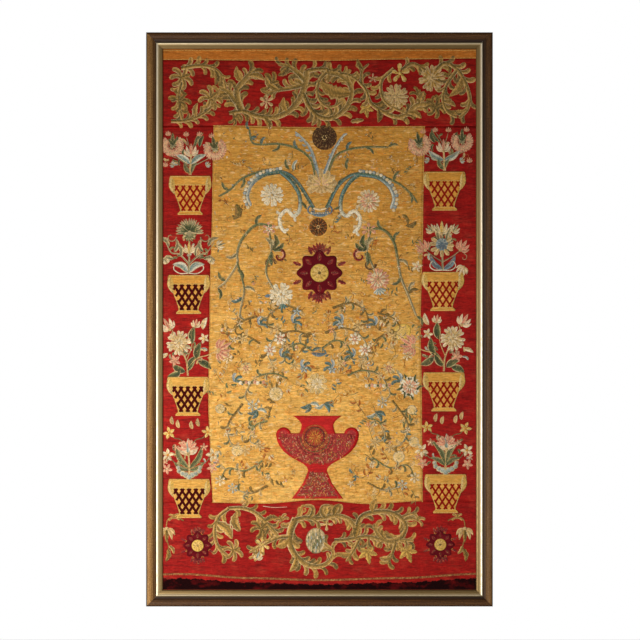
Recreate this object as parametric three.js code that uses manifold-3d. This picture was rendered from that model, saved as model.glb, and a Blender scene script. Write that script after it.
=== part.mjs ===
// Framed silk wall hanging: a gold silk field in red silk borders, with applied baskets, an urn,
// medallions and raised scrolling embroidery, held in a mitred wooden frame with a gilt slip.
// Millimetres, +Z up, the face of the cloth towards -Y, the wall at y = 0.
// The origin is on the back of the frame's top rail, where the frame is hung on the wall.

import * as THREE from "three";
import { mergeVertices } from "three/addons/utils/BufferGeometryUtils.js";
import Module from "manifold-3d";

const wasm = await Module();
wasm.setup();

// Driving dimensions of the frame
const FRAME_WIDTH = 1386;
const FRAME_HEIGHT = 2296;
const RAIL_FACE = 38;
const SLIP_FACE = 28;
const SLIP_PLAY = 0.4;
const MITRE_GAP = 0.46;
const HANGING_POINT_DROP = 15;

// Driving dimensions of the cloth
const CLOTH_FACE_DEPTH = 12;
const CLOTH_THICKNESS = 2;
const CLOTH_TUCK = 16;
const SEAM_GAP = 0.7;
const SIDE_COLUMNS = 2;
const FIELD_COLUMNS = 8;
const FIELD_ROWS = 13;
const BORDER_ROWS = 4;

// Edge of the opening in the slip, through which the cloth shows
const SIGHT_X = FRAME_WIDTH / 2 - RAIL_FACE - SLIP_FACE;
const SIGHT_Z = FRAME_HEIGHT / 2 - RAIL_FACE - SLIP_FACE;
const CLOTH_X = SIGHT_X + CLOTH_TUCK;
const CLOTH_Z = SIGHT_Z + CLOTH_TUCK;

// Hand-sewn seams that wander a little: a row for each point on the line, from the frame's centre
const LEFT_SEAM = [
  { z: 770, x: -423 },
  { z: 480, x: -428 },
  { z: 80, x: -438 },
  { z: -320, x: -444 },
  { z: -600, x: -434 },
  { z: -735, x: -427 },
];
const RIGHT_SEAM = [
  { z: 770, x: 420 },
  { z: 415, x: 414 },
  { z: -40, x: 404 },
  { z: -320, x: 409 },
  { z: -735, x: 412 },
];
const FIELD_TOP = [
  { x: -640, z: 775 },
  { x: -394, z: 776 },
  { x: -78, z: 769 },
  { x: 400, z: 773 },
  { x: 640, z: 774 },
];
const FIELD_FOOT = [
  { x: -640, z: -730 },
  { x: -427, z: -733 },
  { x: -225, z: -737 },
  { x: -6, z: -722 },
  { x: 196, z: -738 },
  { x: 412, z: -727 },
  { x: 640, z: -729 },
];
const HEADING_FOOT = [
  { x: -640, z: 1041 },
  { x: 0, z: 1037 },
  { x: 320, z: 1043 },
  { x: 640, z: 1047 },
];
const HEM_LINE = [
  { x: -640, z: -1021 },
  { x: -550, z: -1020 },
  { x: -280, z: -1036 },
  { x: 0, z: -1044 },
  { x: 320, z: -1036 },
  { x: 640, z: -1019 },
];

// Soft cockles of the stretched cloth: centre, half-sizes and rise, negative for a trough
const COCKLES = [
  { x: -390, z: -950, wide: 170, tall: 90, rise: 2.2 },
  { x: -40, z: -985, wide: 190, tall: 80, rise: -1.8 },
  { x: 310, z: -955, wide: 160, tall: 90, rise: 2.4 },
  { x: -505, z: 270, wide: 90, tall: 170, rise: 1.4 },
  { x: 495, z: -480, wide: 90, tall: 180, rise: 1.6 },
  { x: -250, z: 150, wide: 160, tall: 230, rise: 1.5 },
  { x: 210, z: -200, wide: 180, tall: 230, rise: 1.7 },
  { x: -170, z: -450, wide: 170, tall: 160, rise: -1.5 },
  { x: 240, z: 480, wide: 170, tall: 190, rise: 1.3 },
  { x: -310, z: 900, wide: 170, tall: 90, rise: 1.2 },
  { x: 350, z: 920, wide: 180, tall: 90, rise: -1.4 },
];
const COCKLE_EDGE_FADE = 90;

// How far each layer lies in front of the ground cloth's face: back and face of the layer
const GROUND = { back: -CLOTH_THICKNESS, face: 0 };
const APPLIQUE = { back: 0.95, face: 2.1 };
const STEM = { back: 0.95, face: 2.5 };
const LEAF = { back: 1.05, face: 2.2 };
const BLOOM = { back: 1.15, face: 3.1 };
const LATTICE_RISING = { back: 2.6, face: 3.4 };
const LATTICE_FALLING = { back: 2.7, face: 3.6 };
const BOSS = { back: 2.6, face: 3.9 };

const material = (color, roughness, metalness = 0) =>
  new THREE.MeshStandardMaterial({ color, roughness, metalness });
const FRAME_WOOD = material("#5a3d1e", 0.55);
const SLIP_GILT = material("#b59a6b", 0.35, 0.7);
const GOLD_SILK = material("#c8933a", 0.6);
const RED_SILK = material("#a5181d", 0.6);
const AMBER_SILK = material("#a8641d", 0.6);
const BRAID_SILK = material("#8a5a3a", 0.7);
const HEM_VELVET = material("#1c0607", 0.9);
const BASKET_SILK = material("#c99a3a", 0.6);
const LATTICE_VELVET = material("#4a0a12", 0.85);
const URN_SATIN = material("#a5101f", 0.5);
const MEDALLION_VELVET = material("#4d0b15", 0.85);
const BOSS_SILK = material("#d8b866", 0.5);
const ROUNDEL_SILK = material("#4b2d1c", 0.75);
const SCROLL_SILK = material("#9c7c40", 0.6);
const BOUQUET_SILK = material("#c9ac86", 0.6);
const SPRAY_SILK = material("#71806a", 0.6);

const mix = (a, b, share) => a + (b - a) * share;
const smooth = (share) => share * share * (3 - 2 * share);
const clamp01 = (value) => Math.min(1, Math.max(0, value));

// Value of a table's column at a place along its other column, eased between the rows
function onLine(table, along, column, place) {
  const ordered = [...table].sort((a, b) => a[along] - b[along]);
  const after = ordered.findIndex((row) => row[along] >= place);
  if (after === 0) return ordered[0][column];
  if (after < 0) return ordered.at(-1)[column];
  const [low, high] = [ordered[after - 1], ordered[after]];
  const share = (place - low[along]) / (high[along] - low[along]);
  return mix(low[column], high[column], smooth(share));
}
const leftSeam = (z) => onLine(LEFT_SEAM, "z", "x", z);
const rightSeam = (z) => onLine(RIGHT_SEAM, "z", "x", z);
const fieldTop = (x) => onLine(FIELD_TOP, "x", "z", x);
const fieldFoot = (x) => onLine(FIELD_FOOT, "x", "z", x);
const headingFoot = (x) => onLine(HEADING_FOOT, "x", "z", x);
const hemLine = (x) => onLine(HEM_LINE, "x", "z", x);

// Distance of the ground cloth's face from the wall
function clothDepth(x, z) {
  const fromEdge = Math.min(SIGHT_X - Math.abs(x), SIGHT_Z - Math.abs(z));
  const fade = smooth(clamp01(fromEdge / COCKLE_EDGE_FADE));
  const rise = COCKLES.reduce((sum, c) => {
    const reach = ((x - c.x) / c.wide) ** 2 + ((z - c.z) / c.tall) ** 2;
    return sum + c.rise * Math.exp(-reach);
  }, 0);
  return CLOTH_FACE_DEPTH + rise * fade;
}

function geometryFrom(positions, triangles) {
  const geometry = new THREE.BufferGeometry();
  geometry.setAttribute("position", new THREE.Float32BufferAttribute(positions, 3));
  geometry.setIndex(triangles);
  return geometry;
}

// Closed sheet on the cloth's surface: at(u, v) gives x and z, and the layer its back and face
function sheet({ along, across, at, layer }) {
  const positions = [];
  for (const rise of [layer.face, layer.back]) {
    for (let i = 0; i <= along; i++) {
      for (let j = 0; j <= across; j++) {
        const [x, z] = at(i / along, j / across);
        positions.push(x, -(clothDepth(x, z) + rise), z);
      }
    }
  }
  const backStart = (along + 1) * (across + 1);
  const face = (i, j) => i * (across + 1) + j;
  const triangles = [];
  const quad = (a, b, c, d) => triangles.push(a, b, c, a, c, d);
  for (let i = 0; i < along; i++) {
    for (let j = 0; j < across; j++) {
      const corners = [face(i, j), face(i + 1, j), face(i + 1, j + 1), face(i, j + 1)];
      quad(...corners);
      quad(...corners.map((n) => n + backStart).reverse());
    }
  }
  const wall = (a, b) => quad(b, a, a + backStart, b + backStart);
  for (let i = 0; i < along; i++) {
    wall(face(i, 0), face(i + 1, 0));
    wall(face(i + 1, across), face(i, across));
  }
  for (let j = 0; j < across; j++) {
    wall(face(along, j), face(along, j + 1));
    wall(face(0, j + 1), face(0, j));
  }
  return geometryFrom(positions, triangles);
}

// Closed round sheet with a lobed edge, its middle raised to a low dome
function lobedDisc({ x, z, radius, lobes, depth, spokes, layer, dome = 0.4 }) {
  const edge = (angle) => radius * (1 - depth * (0.5 - 0.5 * Math.cos(lobes * angle)));
  const positions = [];
  for (const [rise, crown] of [[layer.face, dome], [layer.back, 0]]) {
    positions.push(x, -(clothDepth(x, z) + rise + crown), z);
    for (let k = 0; k < spokes; k++) {
      const angle = (2 * Math.PI * k) / spokes;
      const px = x + edge(angle) * Math.cos(angle);
      const pz = z + edge(angle) * Math.sin(angle);
      positions.push(px, -(clothDepth(px, pz) + rise), pz);
    }
  }
  const backStart = spokes + 1;
  const triangles = [];
  for (let k = 0; k < spokes; k++) {
    const here = 1 + k;
    const next = 1 + ((k + 1) % spokes);
    triangles.push(0, here, next);
    triangles.push(backStart, backStart + next, backStart + here);
    triangles.push(next, here, backStart + here, next, backStart + here, backStart + next);
  }
  return geometryFrom(positions, triangles);
}

// Ribbon of thread along a route, its half-width worked out along the way
function ribbon(route, steps, halfWidth, layer) {
  const at = (u, v) => {
    const p = route.getPoint(u);
    const t = route.getTangent(u);
    const reach = halfWidth(u) * (2 * v - 1);
    return [p.x - t.y * reach, p.y + t.x * reach];
  };
  return sheet({ along: steps, across: 1, at, layer });
}
const routeThrough = (points) =>
  new THREE.SplineCurve(points.map(([x, z]) => new THREE.Vector2(x, z)));
const taper = (root, tip) => (u) => mix(root, tip, u);

// Pointed leaf from its root, turned to an angle from +X, with a bowed spine
function leaf({ x, z, angle, length, width, bow = 0.12 }) {
  const [cos, sin] = [Math.cos(angle), Math.sin(angle)];
  const place = ([a, b]) => [x + a * cos - b * sin, z + a * sin + b * cos];
  const spine = [[0, 0], [length / 2, length * bow], [length, 0]].map(place);
  const halfWidth = (u) => LEAF_POINT + (width / 2) * Math.sin(Math.PI * u) ** 0.8;
  return ribbon(routeThrough(spine), LEAF_STEPS, halfWidth, LEAF);
}

// A geometry as a solid for joining, and back
const FUSE_TOLERANCE = 0.15;
function solidOf(geometry) {
  const merged = mergeVertices(geometry, 1e-4);
  return new wasm.Manifold(
    new wasm.Mesh({
      numProp: 3,
      vertProperties: new Float32Array(merged.attributes.position.array),
      triVerts: new Uint32Array(merged.index.array),
    }),
  );
}
function fused(geometries) {
  const solid = geometries.map(solidOf).reduce((whole, next) => whole.add(next));
  const mesh = solid.simplify(FUSE_TOLERANCE).getMesh();
  return geometryFrom(Array.from(mesh.vertProperties), Array.from(mesh.triVerts));
}

function piece(parent, name, geometry, finish) {
  const mesh = new THREE.Mesh(geometry, finish);
  mesh.name = name;
  parent.add(mesh);
  return mesh;
}

// Frame: sections as distance in from the outer edge and height above the wall
const RAIL_SECTION = [
  [0, 0], [30, 0], [30, 24], [RAIL_FACE, 24], [RAIL_FACE, 28], [33, 29], [28, 31.5],
  [24.5, 35], [23, 35], [22, 37], [17, 39.2], [11, 40], [5, 39.2], [2, 37.5], [0, 34],
];
const RAIL_REBATE = RAIL_SECTION[1][0];
const SLIP_BACK_DEPTH = CLOTH_FACE_DEPTH + 2 * SLIP_PLAY;
const SLIP_INNER = RAIL_FACE + SLIP_FACE;
const SLIP_OUTER = RAIL_FACE + SLIP_PLAY;
const SLIP_TONGUE = RAIL_REBATE + SLIP_PLAY;
const SLIP_SECTION = [
  [SLIP_TONGUE, SLIP_BACK_DEPTH], [SLIP_INNER, SLIP_BACK_DEPTH], [SLIP_INNER, 17.5], [63.5, 20.5],
  [60, 22], [49, 24], [47, 26], [44, 27.2], [41, 26.6], [SLIP_OUTER, 24.5], [SLIP_OUTER, 23.6],
  [SLIP_TONGUE, 23.6],
];

// One length of moulding with mitred ends, its outer edge on the X axis and its face towards -Y
function mitredLength(section, outerLength) {
  const outline = section.map(([inset, height]) => new THREE.Vector2(inset, height));
  const caps = THREE.ShapeUtils.triangulateShape(outline, []);
  const count = section.length;
  const positions = [];
  for (const side of [-1, 1]) {
    for (const [inset, height] of section) {
      positions.push(side * (outerLength / 2 - inset - MITRE_GAP / 2), -height, -inset);
    }
  }
  const triangles = [];
  for (let k = 0; k < count; k++) {
    const next = (k + 1) % count;
    triangles.push(k, next + count, next, k, k + count, next + count);
  }
  for (const [a, b, c] of caps) {
    triangles.push(a, b, c);
    triangles.push(c + count, b + count, a + count);
  }
  return geometryFrom(positions, triangles);
}

function frameGroup() {
  const group = new THREE.Group();
  const sides = [
    { side: "top", length: FRAME_WIDTH, turn: 0, x: 0, z: FRAME_HEIGHT / 2 },
    { side: "right", length: FRAME_HEIGHT, turn: Math.PI / 2, x: FRAME_WIDTH / 2, z: 0 },
    { side: "bottom", length: FRAME_WIDTH, turn: Math.PI, x: 0, z: -FRAME_HEIGHT / 2 },
    { side: "left", length: FRAME_HEIGHT, turn: -Math.PI / 2, x: -FRAME_WIDTH / 2, z: 0 },
  ];
  for (const { side, length, turn, x, z } of sides) {
    const corner = new THREE.Group();
    corner.position.set(x, 0, z);
    corner.rotation.y = turn;
    piece(corner, `frame_${side}`, mitredLength(RAIL_SECTION, length), FRAME_WOOD);
    piece(corner, `slip_${side}`, mitredLength(SLIP_SECTION, length), SLIP_GILT);
    group.add(corner);
  }
  return group;
}

// Ground cloth: panels cut to the seams, a heading band above and the hem below
const evenly = (low, high, steps) =>
  Array.from({ length: steps + 1 }, (_, k) => mix(low, high, k / steps));
function stationsAt(z) {
  const half = SEAM_GAP / 2;
  return {
    left: evenly(-CLOTH_X, leftSeam(z) - half, SIDE_COLUMNS),
    field: evenly(leftSeam(z) + half, rightSeam(z) - half, FIELD_COLUMNS),
    right: evenly(rightSeam(z) + half, CLOTH_X, SIDE_COLUMNS),
  };
}
const acrossCloth = (z) => {
  const { left, field, right } = stationsAt(z);
  return [...left, ...field, ...right];
};

// Panel between two level lines, with its columns at the given stations
function levelPanel(stations, low, high, rows, layer = GROUND) {
  const columns = stations.length - 1;
  const at = (u, v) => {
    const x = stations[Math.round(u * columns)];
    return [x, mix(low(x), high(x), v)];
  };
  return sheet({ along: columns, across: rows, at, layer });
}

// Panel between the top and foot seams, its sides on the seams named by the station list
function uprightPanel(part) {
  const [high, low] = [LEFT_SEAM[0].z, LEFT_SEAM.at(-1).z];
  const half = SEAM_GAP / 2;
  const columns = stationsAt(high)[part].length - 1;
  const at = (u, v) => {
    const x = stationsAt(mix(low, high, v))[part][Math.round(u * columns)];
    return [x, mix(fieldFoot(x) + half, fieldTop(x) - half, v)];
  };
  return sheet({ along: columns, across: FIELD_ROWS, at, layer: GROUND });
}

const BRAID = { width: 7, layer: { back: 0.95, face: 2.9 } };
const HEM_BAND = { drop: 14, scallop: 4, scallops: 9, steps: 36, layer: { back: 0.95, face: 2.7 } };
function groundGroup() {
  const group = new THREE.Group();
  const half = SEAM_GAP / 2;
  const upper = acrossCloth(LEFT_SEAM[0].z);
  const lower = acrossCloth(LEFT_SEAM.at(-1).z);
  const clothHead = () => CLOTH_Z;
  const clothFoot = () => -CLOTH_Z;
  piece(group, "field_panel", uprightPanel("field"), GOLD_SILK);
  piece(group, "border_left", uprightPanel("left"), RED_SILK);
  piece(group, "border_right", uprightPanel("right"), RED_SILK);
  const borderTop = levelPanel(
    upper, (x) => fieldTop(x) + half, (x) => headingFoot(x) - half, BORDER_ROWS);
  piece(group, "border_top", borderTop, RED_SILK);
  const borderBottom = levelPanel(lower, clothFoot, (x) => fieldFoot(x) - half, BORDER_ROWS + 2);
  piece(group, "border_bottom", borderBottom, RED_SILK);
  const heading = levelPanel(upper, (x) => headingFoot(x) + half, clothHead, 1);
  piece(group, "heading_band", heading, AMBER_SILK);

  const inSight = evenly(-SIGHT_X + 1, SIGHT_X - 1, HEM_BAND.steps);
  const braid = levelPanel(
    inSight, (x) => hemLine(x) - BRAID.width / 2, (x) => hemLine(x) + BRAID.width / 2, 1,
    BRAID.layer);
  piece(group, "hem_braid", braid, BRAID_SILK);
  const scallop = (x) => Math.abs(Math.sin((Math.PI * HEM_BAND.scallops * x) / SIGHT_X));
  const bandTop = (x) => hemLine(x) - HEM_BAND.drop - HEM_BAND.scallop * scallop(x);
  const band = levelPanel(inSight, () => -SIGHT_Z + 1, bandTop, 1, HEM_BAND.layer);
  piece(group, "hem_band", band, HEM_VELVET);
  return group;
}

// Baskets: silhouette as share of height and share of half-width
const BASKET = { width: 166, height: 156, columns: 2 };
const BASKET_SECTIONS = [
  { height: 0, half: 0.6 },
  { height: 0.1, half: 0.47 },
  { height: 0.5, half: 0.68 },
  { height: 0.74, half: 0.88 },
  { height: 0.88, half: 1 },
  { height: 1, half: 0.95 },
];
const BASKETS = [
  { side: "left", row: 1, x: -518, z: 497 },
  { side: "left", row: 2, x: -524, z: 100 },
  { side: "left", row: 3, x: -527, z: -308 },
  { side: "left", row: 4, x: -522, z: -717 },
  { side: "right", row: 1, x: 501, z: 514 },
  { side: "right", row: 2, x: 494, z: 112 },
  { side: "right", row: 3, x: 498, z: -290 },
  { side: "right", row: 4, x: 505, z: -698 },
];
const basketHalf = (share) => {
  const after = Math.max(1, BASKET_SECTIONS.findIndex((s) => s.height >= share));
  const [low, high] = [BASKET_SECTIONS[after - 1], BASKET_SECTIONS[after]];
  const between = (share - low.height) / (high.height - low.height);
  return (BASKET.width / 2) * mix(low.half, high.half, between);
};
function basketBody({ x, z }) {
  const rows = BASKET_SECTIONS.length - 1;
  const at = (u, v) => {
    const section = BASKET_SECTIONS[Math.round(v * rows)];
    const side = (2 * u - 1) * section.half * (BASKET.width / 2);
    return [x + side, z + (section.height - 0.5) * BASKET.height];
  };
  return sheet({ along: BASKET.columns, across: rows, at, layer: APPLIQUE });
}

// Crossing strips of velvet over the basket's body, fanning out with its sides
const LATTICE = { low: 0.13, high: 0.74, halfWidth: 3.4, reach: 0.92, lean: 0.7 };
const LATTICE_STARTS = [-1.7, -1.05, -0.4, 0.25];
function latticeStrip({ x, z }, start, direction, layer) {
  const shareAt = (rise) => direction * (start + 2 * LATTICE.lean * rise);
  const edges = [-LATTICE.reach, LATTICE.reach].map((edge) => (edge - start) / (2 * LATTICE.lean));
  const [from, to] = [Math.max(0, edges[0]), Math.min(1, edges[1])];
  const pointAt = (rise) => {
    const height = mix(LATTICE.low, LATTICE.high, rise);
    return [x + shareAt(rise) * basketHalf(height), z + (height - 0.5) * BASKET.height];
  };
  return ribbon(routeThrough([pointAt(from), pointAt(to)]), 1, () => LATTICE.halfWidth, layer);
}
function latticeOf(basket) {
  const rising = LATTICE_STARTS.map((start) => latticeStrip(basket, start, 1, LATTICE_RISING));
  const falling = LATTICE_STARTS.map((start) => latticeStrip(basket, start, -1, LATTICE_FALLING));
  return fused([...rising, ...falling]);
}

// Embroidered work: ribbons of thread along their routes, leaves that spring from a ribbon at a share
// of its length and lean away from it by degrees, and lobed blooms. Each table is one joined piece.
const LEAF_STEPS = 3;
const LEAF_POINT = 0.8;
const BLOOM_DEPTH = 0.26;
const SCROLL_BREADTH = 1.5;
function embroidered(table, place = ([x, z]) => [x, z], mirror = 1, breadth = 1) {
  const { strokes, leaves = [], blooms = [] } = table;
  const routes = strokes.map(({ points }) => routeThrough(points.map(place)));
  const threads = strokes.map(({ root, tip, steps }, k) =>
    ribbon(routes[k], steps, taper(root * breadth, tip * breadth), STEM));
  const foliage = leaves.map(({ stroke, at, lean, length, width }) => {
    const { steps } = strokes[stroke];
    const joint = Math.round(at * steps) / steps;
    const root = routes[stroke].getPoint(joint);
    const heading = routes[stroke].getTangent(joint).angle();
    const angle = heading + mirror * THREE.MathUtils.degToRad(lean);
    return leaf({ x: root.x, z: root.y, angle, length, width });
  });
  const heads = blooms.map(({ x, z, radius, lobes }) => {
    const [px, pz] = place([x, z]);
    return lobedDisc({
      x: px, z: pz, radius, lobes, depth: BLOOM_DEPTH, spokes: 2 * lobes, layer: BLOOM,
    });
  });
  return [...threads, ...foliage, ...heads];
}

// Bouquets of the left border, by the row of the basket they stand in, from the middle of its rim;
// those of the right border are mirrored
const BOUQUET_FOOT = 4;
const BOUQUETS = {
  1: {
    strokes: [
      { root: 5, tip: 2.4, steps: 2, points: [[0, 0], [2, 50], [4, 92]] },
      { root: 2.4, tip: 2, steps: 3, points: [[2, 30], [-40, 60], [-84, 84], [-64, 120]] },
      { root: 2.4, tip: 2, steps: 3, points: [[2, 30], [46, 52], [78, 70], [98, 104]] },
      { root: 2.2, tip: 2, steps: 3, points: [[4, 92], [-8, 128], [-14, 150]] },
      { root: 2.2, tip: 2, steps: 3, points: [[4, 92], [18, 128], [34, 150]] },
    ],
    leaves: [
      { stroke: 0, at: 0.5, lean: 68, length: 54, width: 20 },
      { stroke: 0, at: 0.5, lean: -68, length: 54, width: 20 },
    ],
    blooms: [
      { x: -64, z: 124, radius: 35, lobes: 7 },
      { x: 100, z: 106, radius: 36, lobes: 7 },
      { x: 4, z: 96, radius: 25, lobes: 5 },
      { x: -16, z: 156, radius: 11, lobes: 4 },
      { x: 38, z: 156, radius: 11, lobes: 4 },
    ],
  },
  2: {
    strokes: [
      { root: 4.5, tip: 3, steps: 3, points: [[0, 0], [2, 60], [3, 120], [4, 170]] },
      { root: 3, tip: 2, steps: 3, points: [[1, 40], [-36, 78], [-70, 86], [-78, 124]] },
      { root: 3, tip: 2, steps: 3, points: [[1, 40], [40, 74], [74, 88], [90, 124]] },
      { root: 3, tip: 2.2, steps: 3, points: [[0, 6], [-38, 4], [-56, 26], [-34, 44]] },
      { root: 3, tip: 2.2, steps: 3, points: [[0, 6], [38, 4], [58, 26], [36, 44]] },
    ],
    leaves: [
      { stroke: 0, at: 0.5, lean: 52, length: 60, width: 18 },
      { stroke: 0, at: 0.5, lean: -52, length: 60, width: 18 },
    ],
    blooms: [
      { x: 4, z: 172, radius: 38, lobes: 7 },
      { x: -80, z: 128, radius: 17, lobes: 5 },
      { x: 92, z: 128, radius: 18, lobes: 5 },
      { x: 2, z: 100, radius: 19, lobes: 5 },
    ],
  },
  3: {
    strokes: [
      { root: 4.5, tip: 3, steps: 3, points: [[0, 0], [-6, 60], [-34, 128]] },
      { root: 3.2, tip: 2.2, steps: 4, points: [[-2, 30], [36, 70], [82, 84], [128, 108]] },
      { root: 3, tip: 2.2, steps: 3, points: [[-6, 60], [16, 120], [14, 170], [30, 204]] },
      { root: 3, tip: 2.2, steps: 3, points: [[-34, 128], [-66, 150], [-60, 186]] },
    ],
    leaves: [
      { stroke: 0, at: 0.34, lean: 70, length: 62, width: 22 },
      { stroke: 1, at: 0.4, lean: -62, length: 56, width: 22 },
      { stroke: 1, at: 0.6, lean: 60, length: 54, width: 20 },
      { stroke: 2, at: 0.5, lean: -60, length: 56, width: 20 },
    ],
    blooms: [
      { x: -36, z: 131, radius: 37, lobes: 7 },
      { x: 132, z: 112, radius: 20, lobes: 5 },
      { x: 32, z: 208, radius: 16, lobes: 5 },
      { x: -60, z: 192, radius: 16, lobes: 5 },
    ],
  },
  4: {
    strokes: [
      { root: 6, tip: 3, steps: 3, points: [[0, 0], [0, 60], [-4, 126]] },
      { root: 2.4, tip: 2, steps: 3, points: [[-3, 110], [-30, 150], [-60, 160], [-72, 178]] },
      { root: 2.4, tip: 2, steps: 3, points: [[-3, 110], [24, 150], [54, 160], [70, 182]] },
      { root: 2.4, tip: 2, steps: 3, points: [[0, 40], [-34, 62], [-56, 60], [-76, 84]] },
      { root: 2.4, tip: 2, steps: 3, points: [[0, 40], [36, 60], [64, 62], [86, 88]] },
      { root: 5, tip: 3, steps: 3, points: [[0, 26], [-26, 16], [-44, 26], [-50, 46]] },
      { root: 5, tip: 3, steps: 3, points: [[0, 26], [26, 16], [44, 26], [50, 46]] },
    ],
    leaves: [
      { stroke: 0, at: 0.34, lean: 30, length: 84, width: 18 },
      { stroke: 0, at: 0.34, lean: -30, length: 84, width: 18 },
    ],
    blooms: [
      { x: -4, z: 130, radius: 30, lobes: 5 },
      { x: -74, z: 182, radius: 16, lobes: 5 },
      { x: 72, z: 186, radius: 16, lobes: 5 },
      { x: -78, z: 88, radius: 17, lobes: 5 },
      { x: 90, z: 92, radius: 19, lobes: 5 },
    ],
  },
};
function bouquetOver({ side, x, z, row }) {
  const mirror = side === "left" ? 1 : -1;
  const foot = z + BASKET.height / 2 + BOUQUET_FOOT;
  return fused(embroidered(BOUQUETS[row], ([px, pz]) => [x + mirror * px, foot + pz], mirror));
}

// Scrolling vine of the top border: branches, then the leaves and blooms on them
const TOP_SCROLL = {
  strokes: [
    { root: 5.2, tip: 3.2, steps: 5,
      points: [[-594, 794], [-538, 796], [-482, 814], [-434, 850], [-398, 924]] },
    { root: 6, tip: 4, steps: 5,
      points: [[-554, 1006], [-478, 1016], [-426, 1006], [-390, 974], [-374, 920]] },
    { root: 12, tip: 5.6, steps: 5,
      points: [[-314, 838], [-330, 886], [-326, 926], [-294, 966], [-258, 1010]] },
    { root: 10.4, tip: 4.8, steps: 4, points: [[-314, 838], [-342, 882], [-370, 914], [-402, 930]] },
    { root: 5.6, tip: 10.4, steps: 9,
      points: [
        [-362, 826], [-306, 834], [-246, 814], [-178, 810], [-118, 838], [-78, 886], [-58, 942],
        [-50, 998],
      ] },
    { root: 7.2, tip: 4, steps: 3, points: [[-62, 940], [-118, 926], [-170, 918], [-218, 902]] },
    { root: 8.8, tip: 4, steps: 3, points: [[-58, 958], [-90, 990], [-126, 1014], [-166, 1022]] },
    { root: 7.2, tip: 7.2, steps: 9,
      points: [
        [-68, 910], [-42, 854], [-6, 814], [46, 806], [98, 838], [126, 890], [122, 942],
        [82, 978], [26, 990],
      ] },
    { root: 6.4, tip: 3.6, steps: 8,
      points: [
        [-50, 994], [-10, 1002], [34, 998], [2, 962], [-10, 910], [10, 866], [50, 850],
        [94, 874],
      ] },
    { root: 4.4, tip: 4.4, steps: 3, points: [[72, 980], [106, 982], [154, 958]] },
    { root: 4.4, tip: 8, steps: 8,
      points: [
        [154, 958], [186, 918], [206, 866], [258, 830], [314, 810], [354, 826], [390, 858],
        [442, 862],
      ] },
    { root: 5.6, tip: 3.6, steps: 5,
      points: [[298, 1004], [250, 958], [250, 898], [278, 858], [346, 826]] },
    { root: 5.2, tip: 3.2, steps: 3, points: [[170, 940], [170, 994], [198, 1024]] },
    { root: 6, tip: 4, steps: 3, points: [[328, 998], [374, 1024], [424, 998]] },
    { root: 6.4, tip: 4.8, steps: 7,
      points: [[466, 1000], [506, 1026], [554, 998], [586, 942], [602, 886], [590, 838], [558, 806]] },
    { root: 5.6, tip: 3.6, steps: 5,
      points: [[550, 998], [510, 942], [494, 886], [510, 834], [552, 808]] },
    { root: 5, tip: 4, steps: 3, points: [[-554, 950], [-566, 880], [-548, 796]] },
  ],
  leaves: [
    { stroke: 0, at: 0.4, lean: 62, length: 48, width: 18 },
    { stroke: 1, at: 0.6, lean: -58, length: 52, width: 20 },
    { stroke: 2, at: 0.6, lean: 62, length: 56, width: 22 },
    { stroke: 2, at: 0.8, lean: -66, length: 56, width: 22 },
    { stroke: 4, at: 0.33, lean: -58, length: 44, width: 20 },
    { stroke: 4, at: 0.55, lean: 70, length: 50, width: 20 },
    { stroke: 5, at: 0.67, lean: -56, length: 60, width: 24 },
    { stroke: 6, at: 0.67, lean: 64, length: 46, width: 20 },
    { stroke: 7, at: 0.67, lean: 74, length: 112, width: 46 },
    { stroke: 7, at: 0.22, lean: -64, length: 40, width: 18 },
    { stroke: 10, at: 0.38, lean: -60, length: 44, width: 20 },
    { stroke: 10, at: 0.75, lean: -62, length: 46, width: 22 },
    { stroke: 10, at: 0.88, lean: 58, length: 46, width: 20 },
    { stroke: 12, at: 0.67, lean: 64, length: 38, width: 16 },
    { stroke: 14, at: 0.43, lean: -62, length: 76, width: 26 },
    { stroke: 15, at: 0.6, lean: 60, length: 44, width: 18 },
  ],
  blooms: [
    { x: -554, z: 968, radius: 38, lobes: 6 },
    { x: -562, z: 876, radius: 32, lobes: 6 },
    { x: -440, z: 884, radius: 33, lobes: 6 },
    { x: -342, z: 808, radius: 25, lobes: 5 },
    { x: -212, z: 880, radius: 26, lobes: 5 },
    { x: 306, z: 898, radius: 46, lobes: 8 },
    { x: 322, z: 986, radius: 34, lobes: 5 },
    { x: 450, z: 966, radius: 47, lobes: 8 },
    { x: 460, z: 854, radius: 34, lobes: 6 },
  ],
};

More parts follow.
